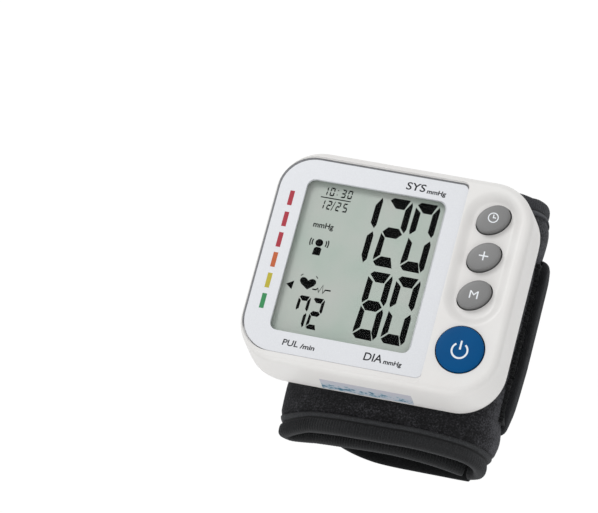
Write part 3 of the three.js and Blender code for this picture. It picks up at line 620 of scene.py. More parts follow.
def caseBlank():
    halfX, halfY, depth = caseForm["halfX"], caseForm["halfY"], caseForm["depth"]
    blank = roundedBlock("caseBlank", (-halfX, halfX), (-halfY, halfY), (-depth, 0),
                         caseForm["corner"], segments=caseForm["cornerSegments"])
    bisectAt(blank, caseForm["levels"])
    for level in [0, *caseForm["levels"], depth]:
        inX, inY = drawnIn(level)
        selectParts(blank, "VERT", atHeight(-level))
        bpy.ops.transform.resize(
            value=(1 - inX / halfX, 1 - inY / halfY, 1), center_override=place(0, 0, -level))
        leaveEdit()
    bevelLevel(blank, 0, caseForm["shoulder"], caseForm["shoulderSegments"])
    bevelLevel(blank, -depth, caseForm["heel"], caseForm["heelSegments"])
    return blank


def hollow(piece):  # leaves the case's wall
    applyModifier(piece, "SOLIDIFY", thickness=caseForm["sideWall"] * mm, offset=-1,
                  use_even_offset=True)


def keyPlaces():
    memoryY, pitch = keyRow["memoryY"], keyRow["pitch"]
    return [("time", memoryY + 2 * pitch), ("plus", memoryY + pitch), ("memory", memoryY),
            ("power", keyRow["powerY"])]


def keyBlank(key, y, z0, z1, grow=0.0):
    oval = key != "power"
    long, short = (keyRow["long"], keyRow["short"]) if oval else (keyRow["power"], keyRow["power"])
    return addPrimitive(
        key + "Key", bpy.ops.mesh.primitive_cylinder_add, vertices=64, radius=1, depth=1,
        location=place(keyRow["x"], y, (z0 + z1) / 2),
        rotation=(0, 0, math.radians(keyRow["tilt"]) if oval else 0),
        scale=((long + grow) * mm, (short + grow) * mm, (z1 - z0) * mm))


# The row's recess: a stadium whose walls run out softly into the face, so it starts a little wider
rowRecess = {"wide": 15.6, "bottom": -10.85, "top": 28.35, "depth": 1.15, "slope": 3.3, "rings": 11,
             "runOut": 1.1, "above": 1.2}


def recessCutter():
    radius = rowRecess["wide"] / 2 + rowRecess["runOut"]
    middle = (rowRecess["bottom"] + rowRecess["top"]) / 2
    straight = (rowRecess["top"] - rowRecess["bottom"]) / 2 + rowRecess["runOut"] - radius
    cutter = addPrimitive(
        "recessCutter", bpy.ops.mesh.primitive_cylinder_add, vertices=72, radius=radius * mm,
        depth=rowRecess["above"] * mm, location=place(keyRow["x"], middle, rowRecess["above"] / 2))
    level = place(0, middle).y
    for side in (-1, 1):
        moveVerts(cutter, lambda vert: (vert.co.y > level - 1e-6) == (side > 0), y=side * straight)
    selectParts(cutter, "FACE", lambda face: face.normal.z < -0.9)
    rings = rowRecess["rings"]
    for i in range(rings):
        drop = rowRecess["depth"] * float(smoothStep(i + 1, 0, rings) - smoothStep(i, 0, rings))
        bpy.ops.mesh.inset(
            thickness=rowRecess["slope"] / rings * mm, depth=drop * mm, use_even_offset=True)
    leaveEdit()
    return cutter


# The door is cut from the shell by a block that reaches out past the wall and down past the shell's rim
doorForm = {"outwards": 1.0, "downwards": 1.2, "clearance": 0.3, "edge": 0.18, "ribs": 7, "pitch": 1.7,
            "wide": 0.8, "y": (31.95, 33.2), "z": (-15.2, -10.2), "ribCorner": 0.3}


def doorBlock(grow):
    doorLow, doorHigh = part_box("battery_door")
    size = doorHigh - doorLow
    shift = mm * Vector((0, doorForm["outwards"], -doorForm["downwards"]))
    return addPrimitive(
        "doorCutter", bpy.ops.mesh.primitive_cube_add, size=1, location=(doorLow + doorHigh) / 2 + shift,
        scale=(size.x + 2 * grow * mm, size.y + 3 * doorForm["outwards"] * mm,
               size.z + 2 * (doorForm["downwards"] + grow) * mm))


def seatCutter():
    gap, floor = panelForm["gap"], -panelForm["recess"] - panelForm["thick"]
    left, right = panelForm["left"] - gap, panelForm["right"] + gap
    bottom, top = panelForm["bottom"] - gap, panelForm["top"] + gap
    roof = panelForm["seat"][-1][0]
    cutter = roundedBlock("seatCutter", (left, right), (bottom, top), (floor, -roof),
                          panelForm["leftCorner"] + gap, panelForm["rightCorner"] + gap, segments=14)
    middle = place((left + right) / 2, (bottom + top) / 2)
    bisectAt(cutter, [level for level, *_ in panelForm["seat"][:-1]])
    for level, outLeft, outBottom, outTop in panelForm["seat"]:
        onLevel = atHeight(-level)
        moveVerts(cutter, lambda vert: onLevel(vert) and vert.co.x < middle.x, x=-outLeft)
        moveVerts(cutter, lambda vert: onLevel(vert) and vert.co.y < middle.y, y=-outBottom)
        moveVerts(cutter, lambda vert: onLevel(vert) and vert.co.y > middle.y, y=outTop)
    return cutter


def windowBlock(grow, zs, segments=8):
    wide, tall = windowForm["wide"] / 2 + grow, windowForm["tall"] / 2 + grow
    return roundedBlock(
        "windowCutter", (windowForm["x"] - wide, windowForm["x"] + wide),
        (windowForm["y"] - tall, windowForm["y"] + tall), zs, windowForm["corner"], segments=segments)


def makeShell(blank):
    parting = place(0, 0, -caseForm["parting"]).z
    shell = copyOf(blank, "frontShell")
    selectParts(shell, "FACE", lambda face: face.calc_center_median().z < parting)
    bpy.ops.mesh.delete(type="FACE")
    leaveEdit()
    hollow(shell)
    onCeiling = atHeight(-caseForm["sideWall"], 0.1)
    moveVerts(shell, lambda vert: onCeiling(vert) and vert.normal.z < -0.3,
              z=caseForm["sideWall"] - caseForm["faceWall"])

    cutWith(shell, seatCutter())
    cutWith(shell, windowBlock(windowForm["shellGrow"], windowForm["through"], segments=10))
    cutWith(shell, recessCutter())
    for key, y in keyPlaces():
        cutWith(shell, keyBlank(key, y, *keyRow["through"], keyRow["clearance"]))

    door = copyOf(shell, "batteryDoor")
    cutWith(door, doorBlock(0), "INTERSECT")
    cutWith(shell, doorBlock(doorForm["clearance"]))
    doorLow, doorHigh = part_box("battery_door")
    doorX = ((doorLow.x + doorHigh.x) / 2 - caseX) / mm
    for i in range(doorForm["ribs"]):
        x = doorX + (i - (doorForm["ribs"] - 1) / 2) * doorForm["pitch"]
        half = doorForm["wide"] / 2
        rib = roundedBlock("doorRib", (x - half, x + half), doorForm["y"], doorForm["z"],
                           doorForm["ribCorner"], segments=3)
        cutWith(door, rib, "UNION")
    breakEdges(door, doorForm["edge"])
    breakEdges(shell, 0.22, 3)
    dress(shell, caseWhite, "monitor", "case_white", "front_cover")
    dress(door, caseWhite, "door", "case_white", "battery_door")


# The bores are kept narrow and short, and leave only a faint mark in the dish's rounded corners
screwBore = {"radius": 2.15, "long": 4.8, "z": -22.6}


def makeRear(blank):
    rear = copyOf(blank, "rearDish")
    bisectAt(rear, [caseForm["parting"] + caseForm["gap"]], clear_outer=True)
    hollow(rear)
    for i in range(1, 5):
        screwLow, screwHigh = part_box(f"case_screw_{i}")
        middle = (screwLow + screwHigh) / 2
        cutWith(rear, addPrimitive(
            "boreCutter", bpy.ops.mesh.primitive_cylinder_add, vertices=40,
            radius=screwBore["radius"] * mm, depth=screwBore["long"] * mm,
            location=(middle.x, middle.y, place(0, 0, screwBore["z"]).z)))
    breakEdges(rear, 0.2)
    dress(rear, caseWhite, "monitor", "case_white", "rear_cover")


blank = caseBlank()
makeShell(blank)
makeRear(blank)
bpy.data.objects.remove(blank)
print("case done")


# A grey sheet in the seat's rim, at its left and its top, is painted shade: it stands for the shadow in
# the groove
grooveShade = {"outLeft": 0.74, "outTop": 0.78, "cornerGrow": 0.3, "z": (-1.3, -0.85), "trim": 0.02}


def makePanel():
    top = -panelForm["recess"]
    panel = roundedBlock("displayPanel", (panelForm["left"], panelForm["right"]),
                         (panelForm["bottom"], panelForm["top"]), (top - panelForm["thick"], top),
                         panelForm["leftCorner"], panelForm["rightCorner"], segments=14)
    cutter = windowBlock(0, (-1.8, -0.4))
    low, middle = place(0, 0, -1).z, place(windowForm["x"], windowForm["y"])
    # the window's right edge slopes and catches light
    moveVerts(cutter, lambda vert: vert.co.z < low and vert.co.x > middle.x, x=-windowForm["lip"])
    cutWith(panel, cutter)
    breakEdges(panel, 0.12, 2)

    # painted shade: a grey sheet in the gap at the panel's left and top, where the groove lies in shadow
    tape = roundedBlock(
        "panelTape", (panelForm["left"] - grooveShade["outLeft"], panelForm["right"]),
        (panelForm["bottom"], panelForm["top"] + grooveShade["outTop"]), grooveShade["z"],
        panelForm["leftCorner"] + grooveShade["outLeft"],
        panelForm["rightCorner"] + grooveShade["cornerGrow"], segments=14)
    cutWith(tape, windowBlock(windowForm["tapeGrow"], windowForm["through"]))
    cutWith(tape, roundedBlock(
        "panelCutter", (panelForm["left"] - grooveShade["trim"], panelForm["right"] + 1),
        (panelForm["bottom"] - 1, panelForm["top"] + grooveShade["trim"]), windowForm["through"],
        panelForm["leftCorner"], panelForm["rightCorner"], segments=14))
    dress(tape, rubbery("greyFoamTape", "#8a8b8e", "#7a7b7e", 0.8), "monitor", "dark_plastic",
          "display_panel")
    dress(panel, panelSilver, "monitor", "panel_silver", "display_panel")


# Unit and reading names, and the scale of coloured bars: places in mm from the window's middle
panelPrint = {
    "words": [("sysWord", "SYS", (7.6, 13.3), (25.0, 27.35)),
              ("sysUnit", "mmHg", (13.8, 19.5), (24.4, 26.2)),
              ("pulseWord", "PUL", (-15.75, -11.1), (-27.4, -25.55)),
              ("pulseUnit", "/min", (-10.5, -6.2), (-27.5, -26.0)),
              ("diaWord", "DIA", (8.15, 13.5), (-27.4, -25.0)),
              ("diaUnit", "mmHg", (14.0, 19.4), (-27.9, -26.1))],
    "slant": 0.1, "wordWeight": 0.012, "unitWeight": 0.028,
    "barX": -24.46, "barSize": (1.35, 4.5),
    "bars": [(16.4, "#ad1230", "#a00e2a"), (9.8, "#ad1230", "#a00e2a"), (3.4, "#ad1230", "#a00e2a"),
             (-2.8, "#c45c1f", "#b6521a"), (-9.2, "#c2b425", "#b3a61f"), (-15.5, "#17884a", "#117c41")]}


def makePanelPrint():
    top = -panelForm["recess"]
    x0, y0 = windowForm["x"], windowForm["y"]
    for name, words, xs, ys in panelPrint["words"]:
        weight = panelPrint["unitWeight" if "Unit" in name else "wordWeight"]
        word = printWords(name, words, (xs[0] + x0, xs[1] + x0), (ys[0] + y0, ys[1] + y0), top,
                          slant=panelPrint["slant"], weight=weight)
        dress(word, printGrey, "monitor", "dark_plastic")
    halfX, halfY = (side / 2 for side in panelPrint["barSize"])
    for i, (y, light, dark) in enumerate(panelPrint["bars"]):
        x = panelPrint["barX"] + x0
        mark = drawFlat(f"scaleBar{i + 1}", [[
            (x - halfX, y + y0 - halfY), (x + halfX, y + y0 - halfY), (x + halfX, y + y0 + halfY),
            (x - halfX, y + y0 + halfY)]], top)
        dress(mark, ink(f"scaleInk{i + 1}", light, dark), "monitor", "panel_silver")


# A figure of seven segments with mitred ends, in a cell w wide and h tall whose lower left corner is at
# x, y. Its upright strokes are u wide and its level ones v
figureSegments = {"0": "abcdef", "1": "bc", "2": "abged", "3": "abgcd", "5": "afgcd", "7": "abcf",
                  "8": "abcdefg"}


def figure(symbol, x, y, w, h, u, v, lean=0.02):
    middle = h / 2
    shapes = {
        "a": [(0.25 * u, h - 0.3 * v), (0.75 * u, h), (w - 0.55 * u, h), (w - 1.2 * u, h - v),
              (1.4 * u, h - v)],
        "b": [(w - 0.2 * u, h - 0.16 * v), (w, h - 0.5 * v), (w, middle + 0.55 * v),
              (w - 0.27 * u, middle + 0.16 * v), (w - u, middle + 0.64 * v), (w - u, h - v)],
        "c": [(w - 0.27 * u, middle - 0.16 * v), (w, middle - 0.55 * v), (w, 0.48 * v),
              (w - 0.45 * u, 0.1 * v), (w - u, 0.8 * v), (w - u, middle - 0.66 * v)],
        "d": [(0.15 * u, 0.4 * v), (1.2 * u, v), (w - 1.2 * u, v), (w - 0.6 * u, 0),
              (0.75 * u, 0.03 * v)],
        "e": [(0.2 * u, middle - 0.16 * v), (u, middle - 0.6 * v), (u, 1.12 * v),
              (0.06 * u, 0.55 * v), (0, 0.9 * v)],
        "f": [(0.05 * u, h - 0.55 * v), (u, h - v), (u, middle + 0.62 * v),
              (0.2 * u, middle + 0.16 * v), (0, middle + 0.5 * v)],
        "g": [(0.35 * u, middle), (1.1 * u, middle + v / 2), (w - 1.2 * u, middle + v / 2),
              (w - 0.45 * u, middle), (w - 1.2 * u, middle - v / 2), (1.0 * u, middle - v / 2)]}
    return [[(x + px + lean * py, y + py) for px, py in shapes[part]]
            for part in figureSegments[symbol]]


# Figures are placed by their x; each row has its lower edge and height, and a size is the width of a
# figure, of its upright and of its level strokes. All places are from the window's middle
displayPrint = {
    "topFigures": [("1", -6.05), ("2", 2.8), ("0", 10.9)], "topY": (1.5, 21.1),
    "lowFigures": [("8", 2.5), ("0", 10.75)], "lowY": (-20.8, 20.6), "figure": (7.2, 1.8, 3.1),
    "pulseFigures": [("7", -15.35), ("2", -11.15)], "pulseY": (-20.7, 9.6),
    "pulseFigure": (3.6, 0.85, 1.5),
    "time": [("1", -16.35), ("0", -14.35), ("3", -11.0), ("0", -9.1)], "timeY": (19.85, 2.65),
    "date": [("1", -16.4), ("2", -14.3), ("2", -11.6), ("5", -9.55)], "dateY": (15.6, 2.8),
    "small": (1.34, 0.33, 0.44), "smallLean": 0.06,
    "colon": [(-12.0, 21.9), (-12.1, 20.5)], "dot": 0.16,
    "slash": (-12.75, 15.5, -11.95, 18.4, 0.22), "rule": (-16.6, 19.15, -7.7, 19.15, 0.3),
    "pointer": [(-19.8, -8.5), (-17.7, -7.2), (-17.9, -9.9)],
    "heart": [(-13.45, -9.15), (-15.6, -7.7), (-16.15, -6.9), (-16.1, -6.2), (-15.6, -5.7),
              (-14.9, -5.65), (-14.25, -5.95), (-13.75, -6.5), (-13.3, -6.05), (-12.6, -5.75),
              (-11.9, -5.85), (-11.4, -6.35), (-11.35, -7.0), (-11.7, -7.7)],
    "wave": [(-11.95, -8.75), (-10.9, -8.75), (-10.45, -8.2), (-10.0, -9.4), (-9.15, -7.1),
             (-8.75, -9.5), (-8.2, -8.4), (-6.6, -8.35)], "waveWidth": 0.42,
    # x, y, radius, width, start and sweep of each arc, with its number of points
    "heartArcs": [(-13.7, -7.2, 3.1, 0.24, 128, 16, 6), (-13.7, -7.2, 3.1, 0.24, 36, 16, 6)],
    "head": (-13.5, 5.3, 1.12),
    "trunk": [(-14.75, 1.5), (-14.6, 3.5), (-14.1, 3.95), (-12.9, 3.95), (-12.4, 3.5), (-12.5, 1.5)],
    "headArcs": [(-13.5, 5.3, 2.1, 0.34, -24, 48, 8), (-13.5, 5.3, 2.1, 0.34, 156, 48, 8),
                 (-13.5, 5.3, 2.75, 0.34, -24, 48, 8), (-13.5, 5.3, 2.75, 0.34, 156, 48, 8)],
    "unitX": (-16.6, -10.6), "unitY": (9.3, 11.5), "unitWeight": 0.022}


def makeDisplay():
    level = (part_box("lcd_glass")[1].z - faceZ) / mm
    x0, y0 = windowForm["x"], windowForm["y"]
    form = displayPrint

    def put(name, outlines):
        moved = [[(x + x0, y + y0) for x, y in outline] for outline in outlines]
        dress(drawFlat(name, moved, level), segmentBlack, "monitor", "dark_plastic")

    def row(figures, ys, size, lean=0.02):
        y, height = ys
        wide, upright, flat = size
        return [outline for symbol, x in figures
                for outline in figure(symbol, x, y, wide, height, upright, flat, lean)]

    put("upperReading", row(form["topFigures"], form["topY"], form["figure"]))
    put("lowerReading", row(form["lowFigures"], form["lowY"], form["figure"]))
    put("pulseReading", row(form["pulseFigures"], form["pulseY"], form["pulseFigure"]))
    clock = row(form["time"], form["timeY"], form["small"], form["smallLean"])
    clock += [circle(x, y, form["dot"], count=10) for x, y in form["colon"]]
    clock += row(form["date"], form["dateY"], form["small"], form["smallLean"])
    clock += [stroke(*form["slash"]), stroke(*form["rule"])]
    put("timeAndDate", clock)
    signs = [form["pointer"], form["heart"], ribbon(form["wave"], form["waveWidth"])]
    signs += [arcBand(*arc) for arc in form["heartArcs"]]
    signs += [circle(*form["head"], count=28), form["trunk"]]
    signs += [arcBand(*arc) for arc in form["headArcs"]]
    put("displaySigns", signs)
    (x1, x2), (y1, y2) = form["unitX"], form["unitY"]
    unit = printWords("displayUnit", "mmHg", (x1 + x0, x2 + x0), (y1 + y0, y2 + y0), level,
                      weight=form["unitWeight"])
    dress(unit, segmentBlack, "monitor", "dark_plastic")


makePanel()
makePanelPrint()
makeDisplay()
print("panel and display done")

# Each key has a flange under the face, a rounded rim and a slightly domed top
keyForm = {"foot": -3.7, "flangeTop": -2.9, "flange": 0.8, "top": 0.9, "rim": 0.6,
           "dome": [(0.9, 0.05), (0.85, 0.04), (0.78, 0.03), (0.6, 0.02)]}


def makeKeys():
    for key, y in keyPlaces():
        piece = keyBlank(key, y, keyForm["flangeTop"], keyForm["top"])
        selectParts(piece, "FACE", lambda face: face.normal.z < -0.9)
        bpy.ops.mesh.inset(thickness=keyForm["flange"] * mm, depth=0, use_outset=True)
        leaveEdit()
        selectParts(piece, "FACE", lambda face: face.normal.z < -0.9)
        bpy.ops.mesh.extrude_region_move(TRANSFORM_OT_translate={
            "value": (0, 0, (keyForm["foot"] - keyForm["flangeTop"]) * mm)})
        leaveEdit()
        bevelLevel(piece, keyForm["top"], keyForm["rim"], 6)
        onTop = atHeight(keyForm["top"])
        selectParts(piece, "FACE", lambda face: all(onTop(vert) for vert in face.verts))
        for size, rise in keyForm["dome"]:
            bpy.ops.mesh.extrude_region_move(TRANSFORM_OT_translate={"value": (0, 0, rise * mm)})
            bpy.ops.transform.resize(
                value=(size, size, 1), center_override=place(keyRow["x"], y, keyForm["top"]))
        leaveEdit()
        shadeSoft(piece, 40)
        dress(piece, keyBlue if key == "power" else keyGrey, key + "_key",
              "button_blue" if key == "power" else "button_grey", key + "_button")


keyMarks = {"z": 0.93, "thick": 0.14, "line": 0.32, "ring": 1.4, "hands": (0.8, 0.95), "plus": 1.35,
            "plusLine": 0.384, "powerRing": 2.25, "powerLine": 0.52, "powerDrop": 0.2,
            "powerArc": (126, 288), "powerStem": (0.1, 2.75), "letter": (1.25, 1.15),
            "shiftX": 0.15, "shiftY": {"time": 0.1, "plus": -0.1, "memory": -0.4, "power": -0.4}}


def makeKeyMarks():
    form = keyMarks
    places = {key: y + form["shiftY"][key] for key, y in keyPlaces()}
    x, z, thick = keyRow["x"] + form["shiftX"], form["z"], form["thick"]
    y, half, (across, upwards) = places["time"], form["line"] / 2, form["hands"]
    hands = [(x - half, y - half), (x + across, y - half), (x + across, y + half), (x + half, y + half),
             (x + half, y + upwards), (x - half, y + upwards)]
    marks = {"time": [circle(x, y, form["ring"] + half), circle(x, y, form["ring"] - half), hands]}
    y, half, arm = places["plus"], form["plusLine"] / 2, form["plus"]
    corner = [(arm, half), (half, half), (half, arm)]
    marks["plus"] = [[(x + across * px, y + upwards * py)
                      for across, upwards, run in ((1, 1, 1), (-1, 1, -1), (-1, -1, 1), (1, -1, -1))
                      for px, py in corner[::run]]]
    y, line, (low, high) = places["power"], form["powerLine"], form["powerStem"]
    marks["power"] = [arcBand(x, y - form["powerDrop"], form["powerRing"], line, *form["powerArc"], 48),
                      stroke(x, y + low, x, y + high, line)]
    for key, outlines in marks.items():
        dress(drawFlat(key + "Mark", outlines, z, thick), printWhite, key + "_key", "case_white")
    y, (wide, tall) = places["memory"], form["letter"]
    letter = printWords("memoryMark", "M", (x - wide, x + wide), (y - tall, y + tall), z, thick=thick)
    dress(letter, printWhite, "memory_key", "case_white")


makeKeys()
makeKeyMarks()
print("keys done")

# The cuff is lofted along the line of the closed band, from the right fold round to the inner end
cuffForm = {"halfX": 38.2, "depth": 22, "drop": 27.3, "shiftY": -1.65, "width": 82.1,
            "tailY": (-28.5, 24.2), "tailShares": (0.004, 0.098)}  # shares of the band's length
bandShares = [
    (0.74, 0.83), (0.84, 0.73), (0.872, 0.55), (0.85, 0.37), (0.77, 0.23), (0.6, 0.125), (0.4, 0.075),
    (0.2, 0.073), (0, 0.073), (-0.178, 0.085), (-0.356, 0.15), (-0.5235, 0.25), (-0.6491, 0.37),
    (-0.6779, 0.443), (-0.6675, 0.516), (-0.6334, 0.56), (-0.5811, 0.573), (-0.4607, 0.568),
    (-0.2513, 0.525), (-0.0314, 0.462), (0.17, 0.456), (0.36, 0.51), (0.53, 0.585)]
innerEnd = (0.7, 0.722)
strapShares = [
    (-0.2827, 0.625), (-0.2565, 0.77), (-0.1728, 0.905), (-0.0524, 0.968), (0.12, 0.975), (0.34, 0.975),
    (0.56, 0.975), (0.69, 0.971), (0.773, 0.958)]


def sectionLine(shares):
    return [(x * cuffForm["halfX"], -cuffForm["depth"] - z * cuffForm["drop"]) for x, z in shares]


def curveThrough(points, count=3000):  # a smooth curve through the points
    knots = np.array(points)
    shares = np.linspace(0, 1, count) * (len(knots) - 1)
    start = np.minimum(shares.astype(int), len(knots) - 2)
    w = (shares - start)[:, None]
    p0, p1 = knots[np.maximum(start - 1, 0)], knots[start]
    p2, p3 = knots[start + 1], knots[np.minimum(start + 2, len(knots) - 1)]
    v0, v1 = (p2 - p0) / 2, (p3 - p1) / 2
    cubic, square = 2 * p1 - 2 * p2 + v0 + v1, -3 * p1 + 3 * p2 - 2 * v0 - v1
    return cubic * w ** 3 + square * w ** 2 + v0 * w + p1


# Even steps along a curve: the points, the direction out of the curve's side there, and the way run
def evenly(dense, count, share0=0.0, share1=1.0):
    steps = np.linalg.norm(np.diff(dense, axis=0), axis=1)
    run = np.concatenate([[0], np.cumsum(steps)])
    wanted = np.linspace(share0, share1, count) * run[-1]
    points = np.stack([np.interp(wanted, run, dense[:, i]) for i in range(2)], 1)
    ahead = np.gradient(points, axis=0)
    ahead /= np.linalg.norm(ahead, axis=1)[:, None]
    return points, np.stack([ahead[:, 1], -ahead[:, 0]], 1), wanted


bandDense = curveThrough(sectionLine(bandShares))
longBand = curveThrough(sectionLine(bandShares + [innerEnd]))


# The folds are soft: fuller between the tapes, and drawn in or pinched at the tapes. Places and amounts
# are in mm. A pair says where an effect starts and where it is full, or how far on that is
foldForm = {"rightX": (27, 7), "leftX": (17, 8), "nearTape": (-39, -36), "farTape": (31.5, 37),
            "fullAt": (-32.5, 29.5), "fullOver": 4.5, "farShare": 0.5,
            "right": (1.4, 1.5, 1.0), "left": (0.9, 0.6),
            "spread": 1.6, "spreadX": (30, 4), "spreadY": (20, 18),
            "lift": 1.5, "liftY": (-40, -30), "liftZ": (33, 37.5), "tuck": 1.0, "tuckY": (-40, -33)}


def ramp(value, start, over):
    return np.clip((value - start) / over, 0, 1)


def bell(value, middle, over):
    return np.exp(-((value - middle) / over) ** 2)


def relax(x, y, z):
    form = foldForm
    right, left = ramp(x, *form["rightX"]), ramp(-x, *form["leftX"])
    near, far = 1 - smoothStep(y, *form["nearTape"]), smoothStep(y, *form["farTape"])
    fullNear, fullFar = (bell(y, at, form["fullOver"]) for at in form["fullAt"])
    full = (fullNear + form["farShare"] * fullFar) * (1 - near)
    rightNear, rightFar, rightFull = form["right"]
    leftNear, leftBetween = form["left"]
    x = x - right * (rightNear * near + rightFar * far - rightFull * full)
    x = x + left * (leftNear * near - leftBetween * (1 - near - far))
    y = y + form["spread"] * ramp(x, *form["spreadX"]) * ramp(y, *form["spreadY"])
    z = z + form["lift"] * left * (1 - smoothStep(y, *form["liftY"])) * smoothStep(-z, *form["liftZ"])
    return x, y - form["tuck"] * left * (1 - smoothStep(y, *form["tuckY"])), z


def loft(name, line, sections):
    points, side, _ = line
    rows, columns = len(points), sections.shape[1]
    y, offset = sections[..., 0], sections[..., 1]
    x = points[:, 0, None] + side[:, 0, None] * offset
    z = points[:, 1, None] + side[:, 1, None] * offset
    x, y, z = relax(x, y, z)
    z = np.maximum(z, -cuffForm["depth"] - cuffForm["drop"])
    places = np.stack([x * mm + caseX, y * mm + caseY, z * mm + faceZ], -1).reshape(-1, 3)
    index = np.arange(rows * columns).reshape(rows, columns)
    ring = np.roll(index, -1, axis=1)
    quads = np.stack([index[:-1], ring[:-1], ring[1:], index[1:]], -1).reshape(-1, 4)
    faces = quads.tolist() + [index[0][::-1].tolist(), index[-1].tolist()]
    mesh = bpy.data.meshes.new(name)
    mesh.from_pydata(places.tolist(), [], faces)
    piece = addObject(name, mesh)
    mesh.update()
    selectParts(piece, "FACE", lambda face: True)
    bpy.ops.mesh.normals_make_consistent(inside=False)
    leaveEdit()
    bpy.ops.object.shade_smooth()
    return piece


def twoFaces(across, upper, lower):  # a section whose lower face runs back
    across, lower = (np.broadcast_to(values, upper.shape) for values in (across, lower))
    return np.concatenate([np.stack([across, upper], -1), np.stack([across, lower], -1)[:, ::-1]], 1)


def wobble(x, y, size, seed=0.0):  # smooth noise at places in mm
    flat = np.stack([np.ravel(v) for v in np.broadcast_arrays(x, y, 0.0)], 1) / size + seed
    values = [noise.noise(Vector(spot)) for spot in flat]
    return np.array(values).reshape(np.broadcast(x, y).shape)


def roundOff(distance, over):  # 0 at an edge, and 1 from a few mm inwards, with a quarter round between
    return np.sqrt(np.clip(1 - (1 - np.clip(distance / over, 0, 1)) ** 2, 0, 1))


def roundEnds(run, over):
    return roundOff(np.minimum(run, run[-1] - run), over)


# The padded band thins towards its tapes and its ends, and puckers beside the tapes
bandForm = {"half": 1.7, "inset": 3.2, "rows": 430, "columns": 62, "edgeHalf": 0.74, "edge": (2, 8),
            "edgePower": 0.6, "endHalf": 0.35, "endOver": 2.5,
            "pucker": 0.22, "puckerFrom": 2.2, "puckerOver": 3.0, "puckerPower": 1.5, "puckerSize": 3.4,
            "puckerStretch": 0.15, "soft": 0.16, "softSize": 11, "most": 0.15, "innerShare": 0.6}


def makeBand():
    form = bandForm
    line = evenly(longBand, form["rows"])
    run = line[2]
    y0 = cuffForm["shiftY"] - cuffForm["width"] / 2 + form["inset"]
    y1 = cuffForm["shiftY"] + cuffForm["width"] / 2 - form["inset"]
    across = np.linspace(y0, y1, form["columns"])
    edge = np.minimum(across - y0, y1 - across)
    swell = form["edgeHalf"] + (1 - form["edgeHalf"]) * ramp(edge, *form["edge"]) ** form["edgePower"]
    ends = form["endHalf"] + (1 - form["endHalf"]) * roundEnds(run, form["endOver"])
    half = form["half"] * swell[None, :] * ends[:, None]
    past = np.clip(edge - form["puckerFrom"], 0, None)
    puckers = np.exp(-(past / form["puckerOver"]) ** form["puckerPower"])
    waves = wobble(run[:, None], across[None, :] * form["puckerStretch"], form["puckerSize"], 7.3)
    soft = wobble(run[:, None], across[None, :], form["softSize"], 2.1)
    lift = form["pucker"] * puckers[None, :] * waves + form["soft"] * soft
    band = loft("cuffBand", line, twoFaces(
        across, half + np.minimum(lift, form["most"]), -half + lift * form["innerShare"]))
    dress(band, bandVelour, "monitor", "cuff_fabric", "cuff_band")


# Rolled tape: hem ridge on the fabric, stitch groove, then a ribbed body that closes round the edge
bindingForm = {"width": 5.5, "ribPitch": 0.85, "rowsPerRib": 5, "ribHeight": 0.098, "ribs": (1.8, 0.5),
               "endHalf": 0.5, "endOver": 1.6, "drift": 0.05, "driftSize": 9, "sway": 0.25,
               "swaySize": 14,
               # ribs stand full on the lower layer, and on the upper one they fade beside its middle
               "lowerRibs": 1.1, "upperLess": 0.85, "middleMore": 0.7, "middle": (1, 15),
               "upperShare": (0.45, 0.5)}
bindingProfile = [
    (0.0, 1.65), (0.1, 1.9), (0.4, 2.02), (0.85, 2.04), (1.2, 1.96), (1.45, 1.76), (1.7, 1.7),
    (1.95, 1.8), (2.3, 1.98), (2.9, 2.1), (3.6, 2.12), (4.3, 2.04), (4.9, 1.78), (5.3, 1.36),
    (5.55, 0.75), (5.62, 0.0)]


def thereAndBack(values):  # across the tape's upper face, and back across its lower one
    return np.concatenate([values, values[-2::-1]])


def makeBinding(name, node, tape, outerY, inward):
    form = bindingForm
    length = evenly(longBand, 2)[2][-1]
    line = evenly(longBand, int(length / form["ribPitch"] * form["rowsPerRib"]))
    run = line[2]
    far, thick = np.array(bindingProfile).T
    across = thereAndBack(outerY + inward * (form["width"] - far))
    section = np.concatenate([thick, -thick[-2::-1]])
    ribShare = thereAndBack(ramp(far, *form["ribs"]))
    ends = form["endHalf"] + (1 - form["endHalf"]) * roundEnds(run, form["endOver"])
    phase = run / form["ribPitch"] * 2 * math.pi
    upperLayer = 1 - smoothStep(run / length, *form["upperShare"])
    less = form["upperLess"] - form["middleMore"] * bell(line[0][:, 0], *form["middle"])
    drawn = form["lowerRibs"] - upperLayer * less
    ribs = 1 + form["ribHeight"] * (np.cos(phase) * drawn)[:, None] * ribShare[None, :]
    drift = wobble(run, 0.0, form["driftSize"], 4.4 + inward)[:, None] * form["drift"] + 1
    offset = section[None, :] * ends[:, None] * ribs * drift
    y = across[None, :] + wobble(run, 0.0, form["swaySize"], 1.7 + inward)[:, None] * form["sway"]
    piece = loft(name, line, np.stack([np.broadcast_to(y, offset.shape), offset], -1))
    shares = piece.data.attributes.new("tapeWidth", "FLOAT", "POINT")
    widths = np.tile(thereAndBack(far / form["width"]), len(run))
    shares.data.foreach_set("value", widths.astype(np.float32))
    dress(piece, tape, "monitor", "binding_tape", node)


# The strap lies under the band, rounds the right fold and narrows to its tail outside it
strapForm = {"half": 1.1, "rows": 380, "tailLift": 4.1, "narrowX": (27.6, 31.0),
             "slack": (0.45, 1.2), "slackX": (-10.8, 9), "endHalf": 0.3, "endOver": 1.4, "tip": 6,
             "rimHalf": 0.25, "rimOver": 1.6, "soft": 0.12, "softSize": 9,
             "rimShares": [0, 0.004, 0.012, 0.025], "farShares": [0.975, 0.988, 0.996, 1],
             # the tail's corners lean in: how much, on which side, from where, over what, and power
             "leans": [(1, -1, 8, 22, 1.3), (1.2, -1, 20, 8.5, 2), (1.0, 1, 17.5, 6.7, 2),
                       (1.6, 1, 21.6, 2.6, 2)]}


